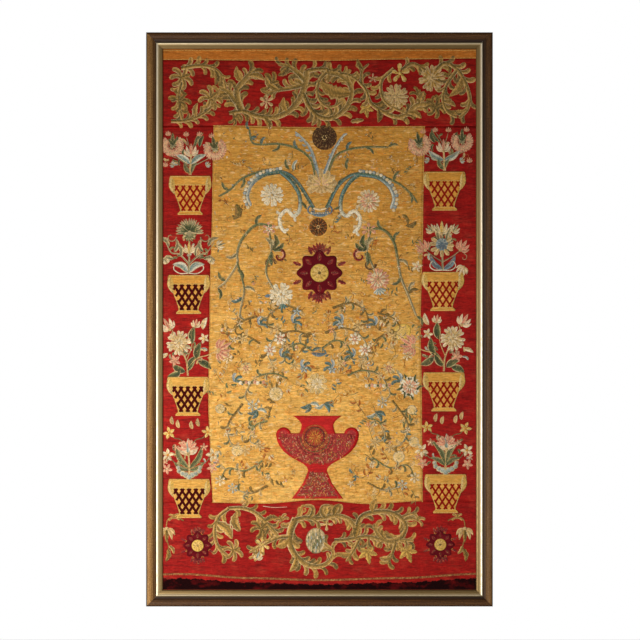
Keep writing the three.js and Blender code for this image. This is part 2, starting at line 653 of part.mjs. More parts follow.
// Scrolling vine of the bottom border, with a bracket under the urn and a cone in its loop
const BOTTOM_SCROLL = {
  strokes: [
    { root: 5.2, tip: 5.2, steps: 6,
      points: [[-362, -756], [-406, -794], [-420, -850], [-406, -910], [-366, -950]] },
    { root: 5.2, tip: 6.4, steps: 6,
      points: [[-362, -756], [-306, -756], [-258, -774], [-214, -814], [-166, -868]] },
    { root: 6.4, tip: 3.6, steps: 4, points: [[-118, -870], [-166, -874], [-226, -902], [-282, -934]] },
    { root: 11.2, tip: 4.8, steps: 10,
      points: [
        [-94, -798], [-114, -842], [-118, -894], [-98, -942], [-58, -978], [-6, -990],
        [38, -970], [54, -930], [14, -894],
      ] },
    { root: 7.2, tip: 6.4, steps: 7,
      points: [[-110, -806], [-54, -794], [-6, -798], [62, -786], [114, -798], [142, -830], [166, -830]] },
    { root: 6.4, tip: 3.6, steps: 4, points: [[-42, -798], [-26, -774], [-30, -750], [-62, -746]] },
    { root: 6.4, tip: 3.6, steps: 4, points: [[26, -794], [10, -774], [14, -750], [46, -746]] },
    { root: 8, tip: 5.6, steps: 10,
      points: [
        [150, -830], [170, -790], [218, -772], [278, -772], [326, -794], [346, -832],
        [326, -870], [274, -886], [234, -862], [218, -818],
      ] },
    { root: 6.4, tip: 4.4, steps: 8,
      points: [[60, -886], [114, -882], [186, -870], [236, -880], [286, -894], [326, -884], [378, -886]] },
    { root: 5.6, tip: 3.2, steps: 3, points: [[162, -874], [138, -922], [106, -970]] },
    { root: 5.6, tip: 3.2, steps: 3, points: [[306, -888], [290, -940], [270, -980]] },
    { root: 4.8, tip: 3.2, steps: 3, points: [[326, -794], [362, -780], [390, -776]] },
    { root: 4, tip: 3.2, steps: 1, points: [[198, -872], [192, -920]] },
    { root: 4, tip: 3.2, steps: 1, points: [[344, -884], [350, -920]] },
  ],
  leaves: [
    { stroke: 0, at: 0.33, lean: 62, length: 76, width: 34 },
    { stroke: 1, at: 0.67, lean: 60, length: 46, width: 20 },
    { stroke: 3, at: 0.2, lean: -60, length: 52, width: 22 },
    { stroke: 3, at: 0.4, lean: -64, length: 54, width: 22 },
    { stroke: 4, at: 0.57, lean: 58, length: 44, width: 20 },
    { stroke: 7, at: 0.2, lean: 62, length: 46, width: 20 },
    { stroke: 7, at: 0.5, lean: 56, length: 44, width: 18 },
    { stroke: 8, at: 0.25, lean: 58, length: 56, width: 24 },
    { stroke: 9, at: 0.67, lean: -62, length: 38, width: 18 },
    { stroke: 10, at: 0.67, lean: -62, length: 36, width: 18 },
  ],
  blooms: [
    { x: -354, z: -930, radius: 36, lobes: 6 },
    { x: -236, z: -838, radius: 36, lobes: 6 },
    { x: -262, z: -938, radius: 23, lobes: 5 },
    { x: -228, z: -902, radius: 28, lobes: 5 },
    { x: -14, z: -886, radius: 44, lobes: 9 },
    { x: 28, z: -820, radius: 25, lobes: 4 },
    { x: 190, z: -946, radius: 37, lobes: 5 },
    { x: 350, z: -944, radius: 37, lobes: 5 },
  ],
};

// Stems of the field: arches and rings that rise from a collar, a crown over them, and lower stems
const COLLAR = { x: 2, z: 438, half: 40, height: 36, columns: 2 };
const SPRAY_MAIN = {
  strokes: [
    { root: 5.6, tip: 3.2, steps: 8,
      points: [[-24, 446], [-86, 546], [-134, 586], [-210, 596], [-302, 568], [-362, 516], [-404, 492]] },
    { root: 5.6, tip: 3.2, steps: 8,
      points: [[28, 446], [74, 534], [134, 580], [214, 580], [298, 554], [360, 510], [392, 466]] },
    { root: 6, tip: 3.6, steps: 9,
      points: [
        [-158, 592], [-114, 554], [-80, 498], [-80, 438], [-104, 414], [-130, 438], [-158, 410],
        [-154, 370], [-134, 346],
      ] },
    { root: 6, tip: 3.6, steps: 9,
      points: [
        [162, 582], [122, 550], [90, 494], [86, 438], [110, 414], [138, 434], [162, 410],
        [158, 370], [134, 346],
      ] },
    { root: 6.8, tip: 4.8, steps: 6,
      points: [[-154, 592], [-222, 578], [-270, 542], [-288, 494], [-274, 454]] },
    { root: 6.8, tip: 4.8, steps: 6,
      points: [[162, 582], [230, 570], [278, 534], [298, 486], [286, 442]] },
  ],
  leaves: [
    { stroke: 0, at: 0.38, lean: -62, length: 46, width: 16 },
    { stroke: 0, at: 0.75, lean: 58, length: 46, width: 16 },
    { stroke: 1, at: 0.38, lean: 62, length: 46, width: 16 },
    { stroke: 1, at: 0.75, lean: 56, length: 46, width: 16 },
  ],
};
const CROWN = {
  strokes: [
    { root: 4.8, tip: 3.2, steps: 7,
      points: [[-14, 560], [-34, 638], [-86, 682], [-158, 702], [-234, 700], [-270, 710], [-282, 762]] },
    { root: 4.8, tip: 3.2, steps: 6, points: [[26, 560], [58, 646], [110, 678], [182, 690], [274, 690]] },
    { root: 6.4, tip: 2.8, steps: 5, points: [[0, 560], [-30, 670], [-62, 718], [-98, 752]] },
    { root: 6.4, tip: 2.8, steps: 5, points: [[12, 560], [50, 660], [84, 722], [110, 746]] },
  ],
  leaves: [
    { stroke: 0, at: 0.57, lean: 58, length: 44, width: 15 },
    { stroke: 1, at: 0.67, lean: -58, length: 50, width: 16 },
    { stroke: 1, at: 0.83, lean: 56, length: 44, width: 15 },
  ],
};
const SPRAY_LEFT = {
  strokes: [
    { root: 5.2, tip: 3.2, steps: 8,
      points: [
        [-190, 374], [-254, 378], [-310, 322], [-330, 266], [-330, 222], [-374, 154],
        [-408, 126],
      ] },
    { root: 4, tip: 2.8, steps: 5, points: [[-330, 230], [-302, 126], [-314, 54], [-322, 6]] },
    { root: 4, tip: 3.2, steps: 3, points: [[-206, 366], [-194, 310], [-194, 270]] },
    { root: 3.6, tip: 3.2, steps: 4, points: [[-194, 270], [-214, 190], [-182, 118]] },
  ],
  leaves: [
    { stroke: 0, at: 0.38, lean: -56, length: 46, width: 16 },
    { stroke: 0, at: 0.75, lean: 58, length: 46, width: 16 },
    { stroke: 1, at: 0.4, lean: 56, length: 50, width: 18 },
  ],
  blooms: [
    { x: -202, z: 363, radius: 24, lobes: 6 },
    { x: -194, z: 262, radius: 32, lobes: 5 },
    { x: -154, z: 100, radius: 46, lobes: 8 },
  ],
};
const SPRAY_RIGHT = {
  strokes: [
    { root: 5.2, tip: 3.2, steps: 7,
      points: [[190, 366], [258, 358], [298, 310], [314, 238], [326, 170], [354, 102], [388, 14]] },
    { root: 4, tip: 3.2, steps: 3, points: [[206, 358], [194, 310], [190, 270]] },
    { root: 3.6, tip: 3.2, steps: 3, points: [[190, 270], [210, 222], [226, 182]] },
  ],
  leaves: [
    { stroke: 0, at: 0.43, lean: 58, length: 46, width: 16 },
    { stroke: 0, at: 0.71, lean: -56, length: 52, width: 18 },
  ],
  blooms: [
    { x: 198, z: 358, radius: 26, lobes: 6 },
    { x: 190, z: 262, radius: 32, lobes: 5 },
    { x: 234, z: 160, radius: 44, lobes: 8 },
  ],
};
const RING_BLOOMS = [
  { name: "left", x: -190, z: 498, radius: 47, lobes: 10 },
  { name: "right", x: 196, z: 474, radius: 47, lobes: 10 },
];
function mainSpray() {
  const at = (u, v) => [COLLAR.x + (2 * u - 1) * COLLAR.half, COLLAR.z + (v - 0.5) * COLLAR.height];
  const collar = sheet({ along: COLLAR.columns, across: 1, at, layer: APPLIQUE });
  return fused([collar, ...embroidered(SPRAY_MAIN)]);
}

// Fan of petals over the collar, from which the crown's stems rise
const PALMETTE = { x: 6, z: 524, petals: 5, spread: 140, length: 56, width: 22 };
function palmette() {
  const { x, z, petals, spread, length, width } = PALMETTE;
  const fan = evenly(90 - spread / 2, 90 + spread / 2, petals - 1).map((degrees) =>
    leaf({ x, z, angle: THREE.MathUtils.degToRad(degrees), length, width, bow: 0 }));
  return fused([...fan, ...embroidered(CROWN)]);
}

// Two-handled urn at the foot of the field: half-width at each height above its foot
const URN = { x: -8, z: -718, columns: 2 };
const URN_BODY = [
  { height: 0, half: 103 },
  { height: 62, half: 58 },
  { height: 112, half: 37 },
  { height: 140, half: 56 },
  { height: 170, half: 112 },
  { height: 214, half: 154 },
  { height: 250, half: 164 },
  { height: 262, half: 120 },
];
const URN_NECK = [
  { height: 255, half: 76 },
  { height: 296, half: 63 },
  { height: 332, half: 94 },
];
const URN_HANDLE = { x: 136, height: 256, radius: 30 };
function urnSheet(sections, layer) {
  const rows = sections.length - 1;
  const at = (u, v) => {
    const section = sections[Math.round(v * rows)];
    return [URN.x + (2 * u - 1) * section.half, URN.z + section.height];
  };
  return sheet({ along: URN.columns, across: rows, at, layer });
}
function urn() {
  const ears = [-1, 1].map((side) => lobedDisc({
    x: URN.x + side * URN_HANDLE.x, z: URN.z + URN_HANDLE.height, radius: URN_HANDLE.radius,
    lobes: 1, depth: 0, spokes: 10, layer: { back: 1.15, face: 2.3 }, dome: 0.2,
  }));
  const neck = urnSheet(URN_NECK, { back: 1.05, face: 2.2 });
  return fused([urnSheet(URN_BODY, APPLIQUE), neck, ...ears]);
}

// Rosette medallions with a silk boss, and two round brown flower heads on the field's axis
const MEDALLIONS = [
  { name: "center", x: 0, z: 186, radius: 92, lobes: 8, boss: 38 },
  { name: "left", x: -488, z: -906, radius: 58, lobes: 8, boss: 25 },
  { name: "right", x: 484, z: -902, radius: 58, lobes: 8, boss: 25 },
];
const ROUNDELS = [
  { name: "upper", x: 20, z: 724, radius: 46, lobes: 12 },
  { name: "lower", x: -5, z: 370, radius: 36, lobes: 12 },
];
function appliedGroup() {
  const group = new THREE.Group();
  for (const basket of BASKETS) {
    const place = `${basket.side}_${basket.row}`;
    piece(group, `basket_${place}`, basketBody(basket), BASKET_SILK);
    piece(group, `lattice_${place}`, latticeOf(basket), LATTICE_VELVET);
    piece(group, `bouquet_${place}`, bouquetOver(basket), BOUQUET_SILK);
  }
  for (const { name, x, z, radius, lobes, boss } of MEDALLIONS) {
    const rosette = lobedDisc({
      x, z, radius, lobes, depth: 0.2, spokes: 4 * lobes, layer: APPLIQUE, dome: 0,
    });
    piece(group, `medallion_${name}`, rosette, MEDALLION_VELVET);
    const centre = lobedDisc({ x, z, radius: boss, lobes: 6, depth: 0.12, spokes: 18, layer: BOSS });
    piece(group, `medallion_${name}_boss`, centre, BOSS_SILK);
  }
  for (const { name, x, z, radius, lobes } of ROUNDELS) {
    const disc = lobedDisc({ x, z, radius, lobes, depth: 0.08, spokes: 2 * lobes, layer: APPLIQUE });
    piece(group, `roundel_${name}`, disc, ROUNDEL_SILK);
  }
  for (const { name, x, z, radius, lobes } of RING_BLOOMS) {
    const bloom = lobedDisc({
      x, z, radius, lobes, depth: BLOOM_DEPTH, spokes: 2 * lobes, layer: BLOOM,
    });
    piece(group, `bloom_${name}`, bloom, BOUQUET_SILK);
  }
  piece(group, "urn", urn(), URN_SATIN);
  piece(group, "scroll_top", fused(embroidered(TOP_SCROLL, undefined, 1, SCROLL_BREADTH)), SCROLL_SILK);
  piece(group, "scroll_bottom", fused(embroidered(BOTTOM_SCROLL, undefined, 1, SCROLL_BREADTH)), SCROLL_SILK);
  piece(group, "spray_main", mainSpray(), SPRAY_SILK);
  piece(group, "palmette", palmette(), SPRAY_SILK);
  piece(group, "spray_left", fused(embroidered(SPRAY_LEFT)), SPRAY_SILK);
  piece(group, "spray_right", fused(embroidered(SPRAY_RIGHT)), SPRAY_SILK);
  return group;
}

const hanging = new THREE.Group();
hanging.name = "framed_silk_hanging";
hanging.add(frameGroup(), groundGroup(), appliedGroup());
hanging.position.z = HANGING_POINT_DROP - FRAME_HEIGHT / 2;

const part = new THREE.Group();
part.add(hanging);
export default part;
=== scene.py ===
import math

import bmesh
import bpy
import numpy as np
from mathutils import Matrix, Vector


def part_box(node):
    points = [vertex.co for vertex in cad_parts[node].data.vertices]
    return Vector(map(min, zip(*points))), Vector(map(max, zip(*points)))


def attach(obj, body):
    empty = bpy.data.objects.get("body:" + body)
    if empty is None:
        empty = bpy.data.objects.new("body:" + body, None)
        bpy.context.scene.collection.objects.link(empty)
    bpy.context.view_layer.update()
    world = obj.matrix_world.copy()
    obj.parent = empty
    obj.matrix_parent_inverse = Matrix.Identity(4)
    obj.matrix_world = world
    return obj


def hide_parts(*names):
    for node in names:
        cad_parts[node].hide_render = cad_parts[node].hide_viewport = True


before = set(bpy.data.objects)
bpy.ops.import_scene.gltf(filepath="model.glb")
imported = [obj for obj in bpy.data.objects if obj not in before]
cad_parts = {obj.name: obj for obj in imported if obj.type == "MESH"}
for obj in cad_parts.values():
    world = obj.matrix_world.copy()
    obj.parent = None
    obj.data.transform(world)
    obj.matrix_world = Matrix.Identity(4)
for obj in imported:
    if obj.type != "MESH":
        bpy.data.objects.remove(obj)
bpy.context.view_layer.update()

# Framed silk wall hanging. Tables are in millimetres from the middle of the frame, x to the right
# and z up, seen from the front. on_cloth() turns them into metres in the shared frame.
STITCH_SEED = 1724
rng = np.random.default_rng(STITCH_SEED)
vary = rng.uniform
MM = 0.001

frame_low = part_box("frame_bottom")[0]
frame_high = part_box("frame_top")[1]
CENTRE_Z = (frame_low.z + frame_high.z) / 2
FRAME_HALF_X = frame_high.x
FRAME_HALF_Z = (frame_high.z - frame_low.z) / 2
SIGHT_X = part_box("slip_right")[0].x / MM
SIGHT_Z = (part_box("slip_top")[0].z - CENTRE_Z) / MM
CLOTH_TUCK = 16
CLOTH_X = SIGHT_X + CLOTH_TUCK
CLOTH_Z = SIGHT_Z + CLOTH_TUCK
CLOTH_FACE_DEPTH = 12
CLOTH_THICKNESS = 2
SEAM_GAP = 0.1
HALF_GAP = SEAM_GAP / 2
COCKLE_EDGE_FADE = 90

# Seams: the first column is the place along the line, the second the line itself
LEFT_SEAM = [(-735, -427), (-600, -434), (-320, -444), (80, -438), (480, -428), (770, -423)]
RIGHT_SEAM = [(-735, 412), (-320, 409), (-40, 404), (415, 414), (770, 420)]
FIELD_TOP = [(-640, 775), (-394, 776), (-78, 769), (400, 773), (640, 774)]
FIELD_FOOT = [
    (-640, -730), (-427, -733), (-225, -737), (-6, -722), (196, -738), (412, -727), (640, -729),
]
HEADING_FOOT = [(-640, 1041), (0, 1037), (320, 1043), (640, 1047)]
HEM_LINE = [(-640, -1021), (-550, -1020), (-280, -1036), (0, -1044), (320, -1036), (640, -1019)]
# Cockles of the stretched cloth: x, z, half-width, half-height, rise
COCKLES = [
    (-390, -950, 170, 90, 2.2), (-40, -985, 190, 80, -1.8), (310, -955, 160, 90, 2.4),
    (-505, 270, 90, 170, 1.4), (495, -480, 90, 180, 1.6), (-250, 150, 160, 230, 1.5),
    (210, -200, 180, 230, 1.7), (-170, -450, 170, 160, -1.5), (240, 480, 170, 190, 1.3),
    (-310, 900, 170, 90, 1.2), (350, 920, 180, 90, -1.4),
]

# Silk threads, as the eye sees them in daylight (0 to 255)
THREADS = {
    "cream": (226, 198, 146), "white": (240, 230, 204), "pale_gold": (222, 182, 104),
    "gold": (198, 148, 58), "tan": (184, 138, 76), "olive": (120, 98, 42), "moss": (82, 78, 36),
    "dark_green": (46, 54, 34), "leaf_green": (106, 118, 66), "grey_green": (126, 128, 96),
    "teal": (70, 112, 98), "sky": (124, 150, 154), "blue": (74, 104, 134), "pink": (220, 152, 118),
    "rose": (202, 104, 84), "salmon": (232, 182, 146), "maroon": (92, 18, 24),
    "brown": (96, 60, 34), "dark_brown": (52, 30, 18), "orange": (206, 120, 34),
    "rust": (164, 82, 28), "dun": (158, 118, 62), "buff": (206, 166, 98), "lemon": (232, 192, 88),
    "slate": (96, 88, 84), "mulberry": (166, 22, 32), "scarlet": (184, 18, 28),
    "honey": (214, 166, 86), "ochre": (174, 128, 50), "umber_gold": (120, 94, 38),
    "bark": (64, 58, 30),
}


def linear(red, green, blue):
    """Scene colour of a colour that is given as it looks, 0 to 255."""
    share = np.array([red, green, blue]) / 255
    return np.where(share <= 0.04045, share / 12.92, ((share + 0.055) / 1.055) ** 2.4)


def thread(name):
    """Scene colour of a thread."""
    return linear(*THREADS[name])


# Looks of stitched shapes: light side, middle, shaded side, outline
LOOKS = {
    "vine": "honey umber_gold dark_green cream",
    "vine_gold": "honey ochre umber_gold buff",
    "acanthus": "honey ochre bark cream",
    "acanthus_dark": "ochre umber_gold bark buff",
    "acanthus_cool": "dun olive dark_green buff",
    "grape": "lemon gold dun pale_gold",
    "sage": "cream grey_green dark_green cream",
    "leaf": "grey_green leaf_green dark_green buff",
    "dark_leaf": "leaf_green dark_green dark_green cream",
    "teal": "sky teal dark_green teal",
    "teal_pale": "white sky teal cream",
    "blue": "white sky blue sky",
    "blue_deep": "sky blue slate sky",
    "white": "white white cream white",
    "cream": "white cream buff cream",
    "tulip": "white cream salmon cream",
    "pink": "salmon pink rose salmon",
    "rose": "salmon pink rose cream",
    "pink_pale": "cream salmon pink cream",
    "straw": "cream buff tan cream",
    "yellow": "cream lemon gold lemon",
    "olive": "dun olive moss brown",
    "brown": "dun brown dark_brown brown",
    "crimson": "scarlet scarlet mulberry maroon",
    "umber": "brown dark_brown dark_brown brown",
    "maroon": "mulberry maroon maroon mulberry",
    "rust": "orange rust brown rust",
    "orange": "lemon orange rust orange",
    "ghost": "cream pale_gold pale_gold cream",
}
LOOKS = {name: tuple(thread(word) for word in row.split()) for name, row in LOOKS.items()}


def between(low, high, share):
    """Value at a share of the way from low to high."""
    return low + (high - low) * share


def eased(share):
    """Share that starts and ends gently."""
    return share * share * (3 - 2 * share)


def bearing(heading):
    """Direction of a heading, in degrees from +x."""
    return math.degrees(math.atan2(heading[1], heading[0]))


def polar(x, z, reach, angle):
    """Place at a reach from x and z, in a direction in degrees from +x."""
    turn = math.radians(angle)
    return x + reach * math.cos(turn), z + reach * math.sin(turn)


def on_line(table, places):
    """Values of a seam table at some places, eased between its rows."""
    at, value = (np.array(column, float) for column in zip(*table))
    places = np.asarray(places, float)
    after = np.clip(np.searchsorted(at, places), 1, len(at) - 1)
    share = np.clip((places - at[after - 1]) / (at[after] - at[after - 1]), 0, 1)
    return between(value[after - 1], value[after], eased(share))


def cloth_depth(x, z):
    """Distance of the ground cloth's face from the frame's back, in millimetres."""
    x, z = np.asarray(x, float), np.asarray(z, float)
    from_edge = np.minimum(SIGHT_X - np.abs(x), SIGHT_Z - np.abs(z))
    fade = eased(np.clip(from_edge / COCKLE_EDGE_FADE, 0, 1))
    rise = sum(r * np.exp(-((x - cx) / w) ** 2 - ((z - cz) / t) ** 2) for cx, cz, w, t, r in COCKLES)
    return CLOTH_FACE_DEPTH + rise * fade


def on_cloth(x, z, lift):
    """Row points in metres for places on the cloth, lifted off its face by millimetres."""
    depth = cloth_depth(x, z) + lift
    return np.stack([np.asarray(x) * MM, -depth * MM, np.asarray(z) * MM + CENTRE_Z], -1)


def smooth_line(points, step):
    """Even points about a step apart on a smooth line, with their headings and the run up to each."""
    p = np.asarray(points, float)
    ends = np.vstack([2 * p[0] - p[1], p, 2 * p[-1] - p[-2]])
    dense = []
    for k in range(len(p) - 1):
        t = np.linspace(0, 1, 20, endpoint=k == len(p) - 2)[:, None]
        a, b, c, d = ends[k:k + 4]
        dense.append(0.5 * (2 * b + (c - a) * t + (2 * a - 5 * b + 4 * c - d) * t**2
                            + (3 * b - a - 3 * c + d) * t**3))
    dense = np.vstack(dense)
    run = np.concatenate([[0], np.cumsum(np.linalg.norm(np.diff(dense, axis=0), axis=1))])
    even = np.linspace(0, run[-1], max(4, int(run[-1] / step) + 1))
    line = np.stack([np.interp(even, run, dense[:, k]) for k in (0, 1)], -1)
    heading = np.gradient(line, axis=0)
    heading /= np.linalg.norm(heading, axis=1, keepdims=True) + 1e-9
    return line, heading, even


def mesh_object(name, points, quads, materials):
    """New smooth object from arrays of points and quads."""
    mesh = bpy.data.meshes.new(name)
    mesh.vertices.add(len(points))
    mesh.vertices.foreach_set("co", np.asarray(points, np.float32).ravel())
    mesh.loops.add(quads.size)
    mesh.loops.foreach_set("vertex_index", quads.astype(np.int32).ravel())
    mesh.polygons.add(len(quads))
    mesh.polygons.foreach_set("loop_start", np.arange(0, quads.size, 4, dtype=np.int32))
    mesh.polygons.foreach_set("loop_total", np.full(len(quads), 4, np.int32))
    mesh.polygons.foreach_set("use_smooth", np.ones(len(quads), bool))
    mesh.update(calc_edges=True)
    for material in materials:
        mesh.materials.append(material)
    piece = bpy.data.objects.new(name, mesh)
    bpy.context.scene.collection.objects.link(piece)
    return piece


class Layout:
    """Short way to place nodes: values or sockets go in, and a socket comes out."""

    def __init__(self, tree):
        self.tree = tree

    def node(self, kind, settings=None, inputs=None):
        made = self.tree.nodes.new(kind)
        for key, value in (settings or {}).items():
            setattr(made, key, value)
        for key, value in (inputs or {}).items():
            self.feed(made.inputs[key], value)
        return made

    def feed(self, socket, value):
        if isinstance(value, bpy.types.NodeSocket):
            self.tree.links.new(value, socket)
        elif value is not None:
            socket.default_value = value

    def math(self, operation, a, b=None, c=None):
        made = self.node("ShaderNodeMath", {"operation": operation})
        for socket, value in zip(made.inputs, (a, b, c)):
            self.feed(socket, value)
        return made.outputs[0]

    def weighted(self, a, a_share, b, b_share):
        return self.math("ADD", self.math("MULTIPLY", a, a_share), self.math("MULTIPLY", b, b_share))

    def blend(self, share, a, b, mode="MIX"):
        made = self.node("ShaderNodeMix", {"data_type": "RGBA", "blend_type": mode})
        for socket, value in zip((made.inputs[0], made.inputs[6], made.inputs[7]), (share, a, b)):
            self.feed(socket, value)
        return made.outputs[2]

    def noise(self, vector, scale, detail=3.0, rough=0.55):
        inputs = {"Vector": vector, "Scale": scale, "Detail": detail, "Roughness": rough}
        return self.node("ShaderNodeTexNoise", inputs=inputs).outputs["Fac"]

    def spread(self, value, low, high, to_low=0.0, to_high=1.0):
        inputs = {"Value": value, "From Min": low, "From Max": high, "To Min": to_low, "To Max": to_high}
        return self.node("ShaderNodeMapRange", inputs=inputs).outputs[0]

    def surface(self, shader, **sockets):
        """Feed a shader's sockets, named with underscores for blanks."""
        for label, value in sockets.items():
            self.feed(shader.inputs[label.replace("_", " ")], value)

    def stretch(self, vector, scale):
        return self.node("ShaderNodeMapping", inputs={"Vector": vector, "Scale": scale}).outputs[0]

    def ramp(self, value, stops):
        made = self.node("ShaderNodeValToRGB", inputs={"Fac": value})
        ramp = made.color_ramp
        while len(ramp.elements) < len(stops):
            ramp.elements.new(0.5)
        for element, (place, colour) in zip(ramp.elements, stops):
            element.position = place
            element.color = (*colour, 1)
        return made.outputs[0]

    def axes(self, vector):
        return self.node("ShaderNodeSeparateXYZ", inputs={"Vector": vector}).outputs

    def vector(self, x, y, z):
        return self.node("ShaderNodeCombineXYZ", inputs={"X": x, "Y": y, "Z": z}).outputs[0]

    def bump(self, height, distance, strength=1.0):
        inputs = {"Height": height, "Distance": distance, "Strength": strength}
        return self.node("ShaderNodeBump", inputs=inputs).outputs[0]

    def group(self, tree, inputs):
        return self.node("ShaderNodeGroup", {"node_tree": tree}, inputs).outputs


FLOAT, VECTOR, GEOMETRY = "NodeSocketFloat", "NodeSocketVector", "NodeSocketGeometry"


def node_group(name, inputs, outputs, build, kind="ShaderNodeTree"):
    """Node group: inputs as name, kind, value; build(layout, inputs) gives the outputs."""
    tree = bpy.data.node_groups.new(name, kind)
    for label, socket_kind, value in inputs:
        socket = tree.interface.new_socket(label, in_out="INPUT", socket_type=socket_kind)
        if value is not None:
            socket.default_value = value
    for label, socket_kind in outputs:
        tree.interface.new_socket(label, in_out="OUTPUT", socket_type=socket_kind)
    start = tree.nodes.new("NodeGroupInput")
    made = build(Layout(tree), {s.name: s for s in start.outputs if s.name})
    end = tree.nodes.new("NodeGroupOutput")
    for label, _ in outputs:
        tree.links.new(made[label], end.inputs[label])
    return tree


WEAVE_WAVES = 5200


def weave_nodes(lay, given):
    """Silk weave: slubbed weft across, finer warp upright, threads a little over a millimetre apart."""
    place = given["Place"]
    slub = lay.noise(lay.stretch(place, (70, 1, 300)), given["Slub"], 4, 0.6)
    warp = lay.noise(lay.stretch(place, (420, 1, 26)), 1.0, 2, 0.5)
    x, _, z = lay.axes(place)
    weft_thread = lay.math("SINE", lay.math("MULTIPLY", z, WEAVE_WAVES))
    warp_thread = lay.math("SINE", lay.math("MULTIPLY", x, WEAVE_WAVES))
    threads = lay.math("MULTIPLY", weft_thread, warp_thread)
    return {"Height": lay.weighted(slub, 1.6, threads, 0.25), "Tone": lay.weighted(slub, 0.75, warp, 0.25)}


silk_weave = node_group(
    "silk_weave", [("Place", VECTOR, None), ("Slub", FLOAT, 1.0)],
    [("Height", FLOAT), ("Tone", FLOAT)], weave_nodes)


def age_nodes(lay, given):
    """Age of the cloth: broad fading, rubbed patches, and how far up the hanging a place is."""
    place = given["Place"]
    broad = lay.noise(place, 2.3, 3, 0.5)
    rubbed = lay.noise(lay.stretch(place, (1, 1, 1.6)), 16, 5, 0.65)
    rubbed = lay.spread(rubbed, 0.52, 0.72)
    _, _, z = lay.axes(place)
    height = lay.spread(z, CENTRE_Z - FRAME_HALF_Z, CENTRE_Z + FRAME_HALF_Z)
    return {"Fade": broad, "Rubbed": rubbed, "Height": height}


cloth_age = node_group(
    "cloth_age", [("Place", VECTOR, None)],
    [("Fade", FLOAT), ("Rubbed", FLOAT), ("Height", FLOAT)], age_nodes)


def fleck_nodes(lay, given):
    """Uneven hand work: single stitches and threads a little lighter or darker than their neighbours."""
    x, y, z = lay.axes(given["Place"])
    place = lay.vector(lay.math("DIVIDE", x, given["Length"]), y, z)
    coarse = lay.spread(lay.noise(place, 130, 2, 0.6), 0.3, 0.7, -1, 1)
    fine = lay.spread(lay.noise(place, 290, 1, 0.5), 0.3, 0.7, -1, 1)
    both = lay.weighted(coarse, 0.6, fine, 0.4)
    light = lay.math("MULTIPLY_ADD", both, given["Depth"], 1.0)
    return {"Light": light, "Fleck": both}


thread_flecks = node_group(
    "thread_flecks", [("Place", VECTOR, None), ("Depth", FLOAT, 0.3), ("Length", FLOAT, 1.0)],
    [("Light", FLOAT), ("Fleck", FLOAT)], fleck_nodes)


def strand_nodes(lay, given):
    """Laid threads: ridges a thread apart across the stitch line, each with its own tone."""
    u, v, _ = lay.axes(given["Stitch"])
    turns = lay.math("MULTIPLY", v, lay.math("DIVIDE", 2 * math.pi, given["Pitch"]))
    ridge = lay.math("MULTIPLY_ADD", lay.math("SINE", turns), 0.5, 0.5)
    tone = lay.noise(lay.vector(lay.math("MULTIPLY", u, 0.05), v, 0.0), 0.8, 2, 0.6)
    return {"Ridge": ridge, "Tone": tone}


laid_strands = node_group(
    "laid_strands", [("Stitch", VECTOR, None), ("Pitch", FLOAT, 1.4)],
    [("Ridge", FLOAT), ("Tone", FLOAT)], strand_nodes)


def moulding_nodes(lay, given):
    """Inset from the frame's outer edge in millimetres, a place that runs along each rail, and uprights."""
    x, _, z = lay.axes(given["Place"])
    from_side = lay.math("SUBTRACT", FRAME_HALF_X, lay.math("ABSOLUTE", x))
    up = lay.math("ABSOLUTE", lay.math("SUBTRACT", z, CENTRE_Z))
    from_end = lay.math("SUBTRACT", FRAME_HALF_Z, up)
    upright = lay.math("LESS_THAN", from_side, from_end)
    inset = lay.math("MINIMUM", from_side, from_end)
    along = lay.weighted(z, upright, x, lay.math("SUBTRACT", 1.0, upright))
    rail_place = lay.vector(lay.math("MULTIPLY", inset, 6.0), along, upright)
    return {"Inset": lay.math("MULTIPLY", inset, 1 / MM), "Rail": rail_place, "Upright": upright}


moulding_place = node_group(
    "moulding_place", [("Place", VECTOR, None)], [("Inset", FLOAT), ("Rail", VECTOR), ("Upright", FLOAT)],
    moulding_nodes)


def new_material(name, **constants):
    """Material with a layout and its Principled shader; constants go on the shader's own sockets."""
    material = bpy.data.materials.new(name)
    material.use_nodes = True
    tree = material.node_tree
    shader = next(n for n in tree.nodes if n.type == "BSDF_PRINCIPLED")
    lay = Layout(tree)
    lay.surface(shader, **constants)
    place = lay.node("ShaderNodeTexCoord").outputs["Object"]
    return material, lay, shader, place


def shades(*rows):
    """Stops of a ramp, from places and colours as they look."""
    return [(at, tuple(linear(*colour))) for at, colour in rows]


# Tendrils of worked silk: scale, width, thread
TENDRILS = ((26, 0.024, "rust"), (38, 0.022, "olive"))
# Flecks of worked silk: scale, thread, threshold, strength
WORKED_FLECKS = (
    (60, "orange", 0.62, 0.4), (70, "moss", 0.64, 0.4), (64, "cream", 0.64, 0.45), (85, "teal", 0.68, 0.4),
)
PUCKER_DEPTH, WEAVE_DEPTH = 1.2 * MM, 0.5 * MM


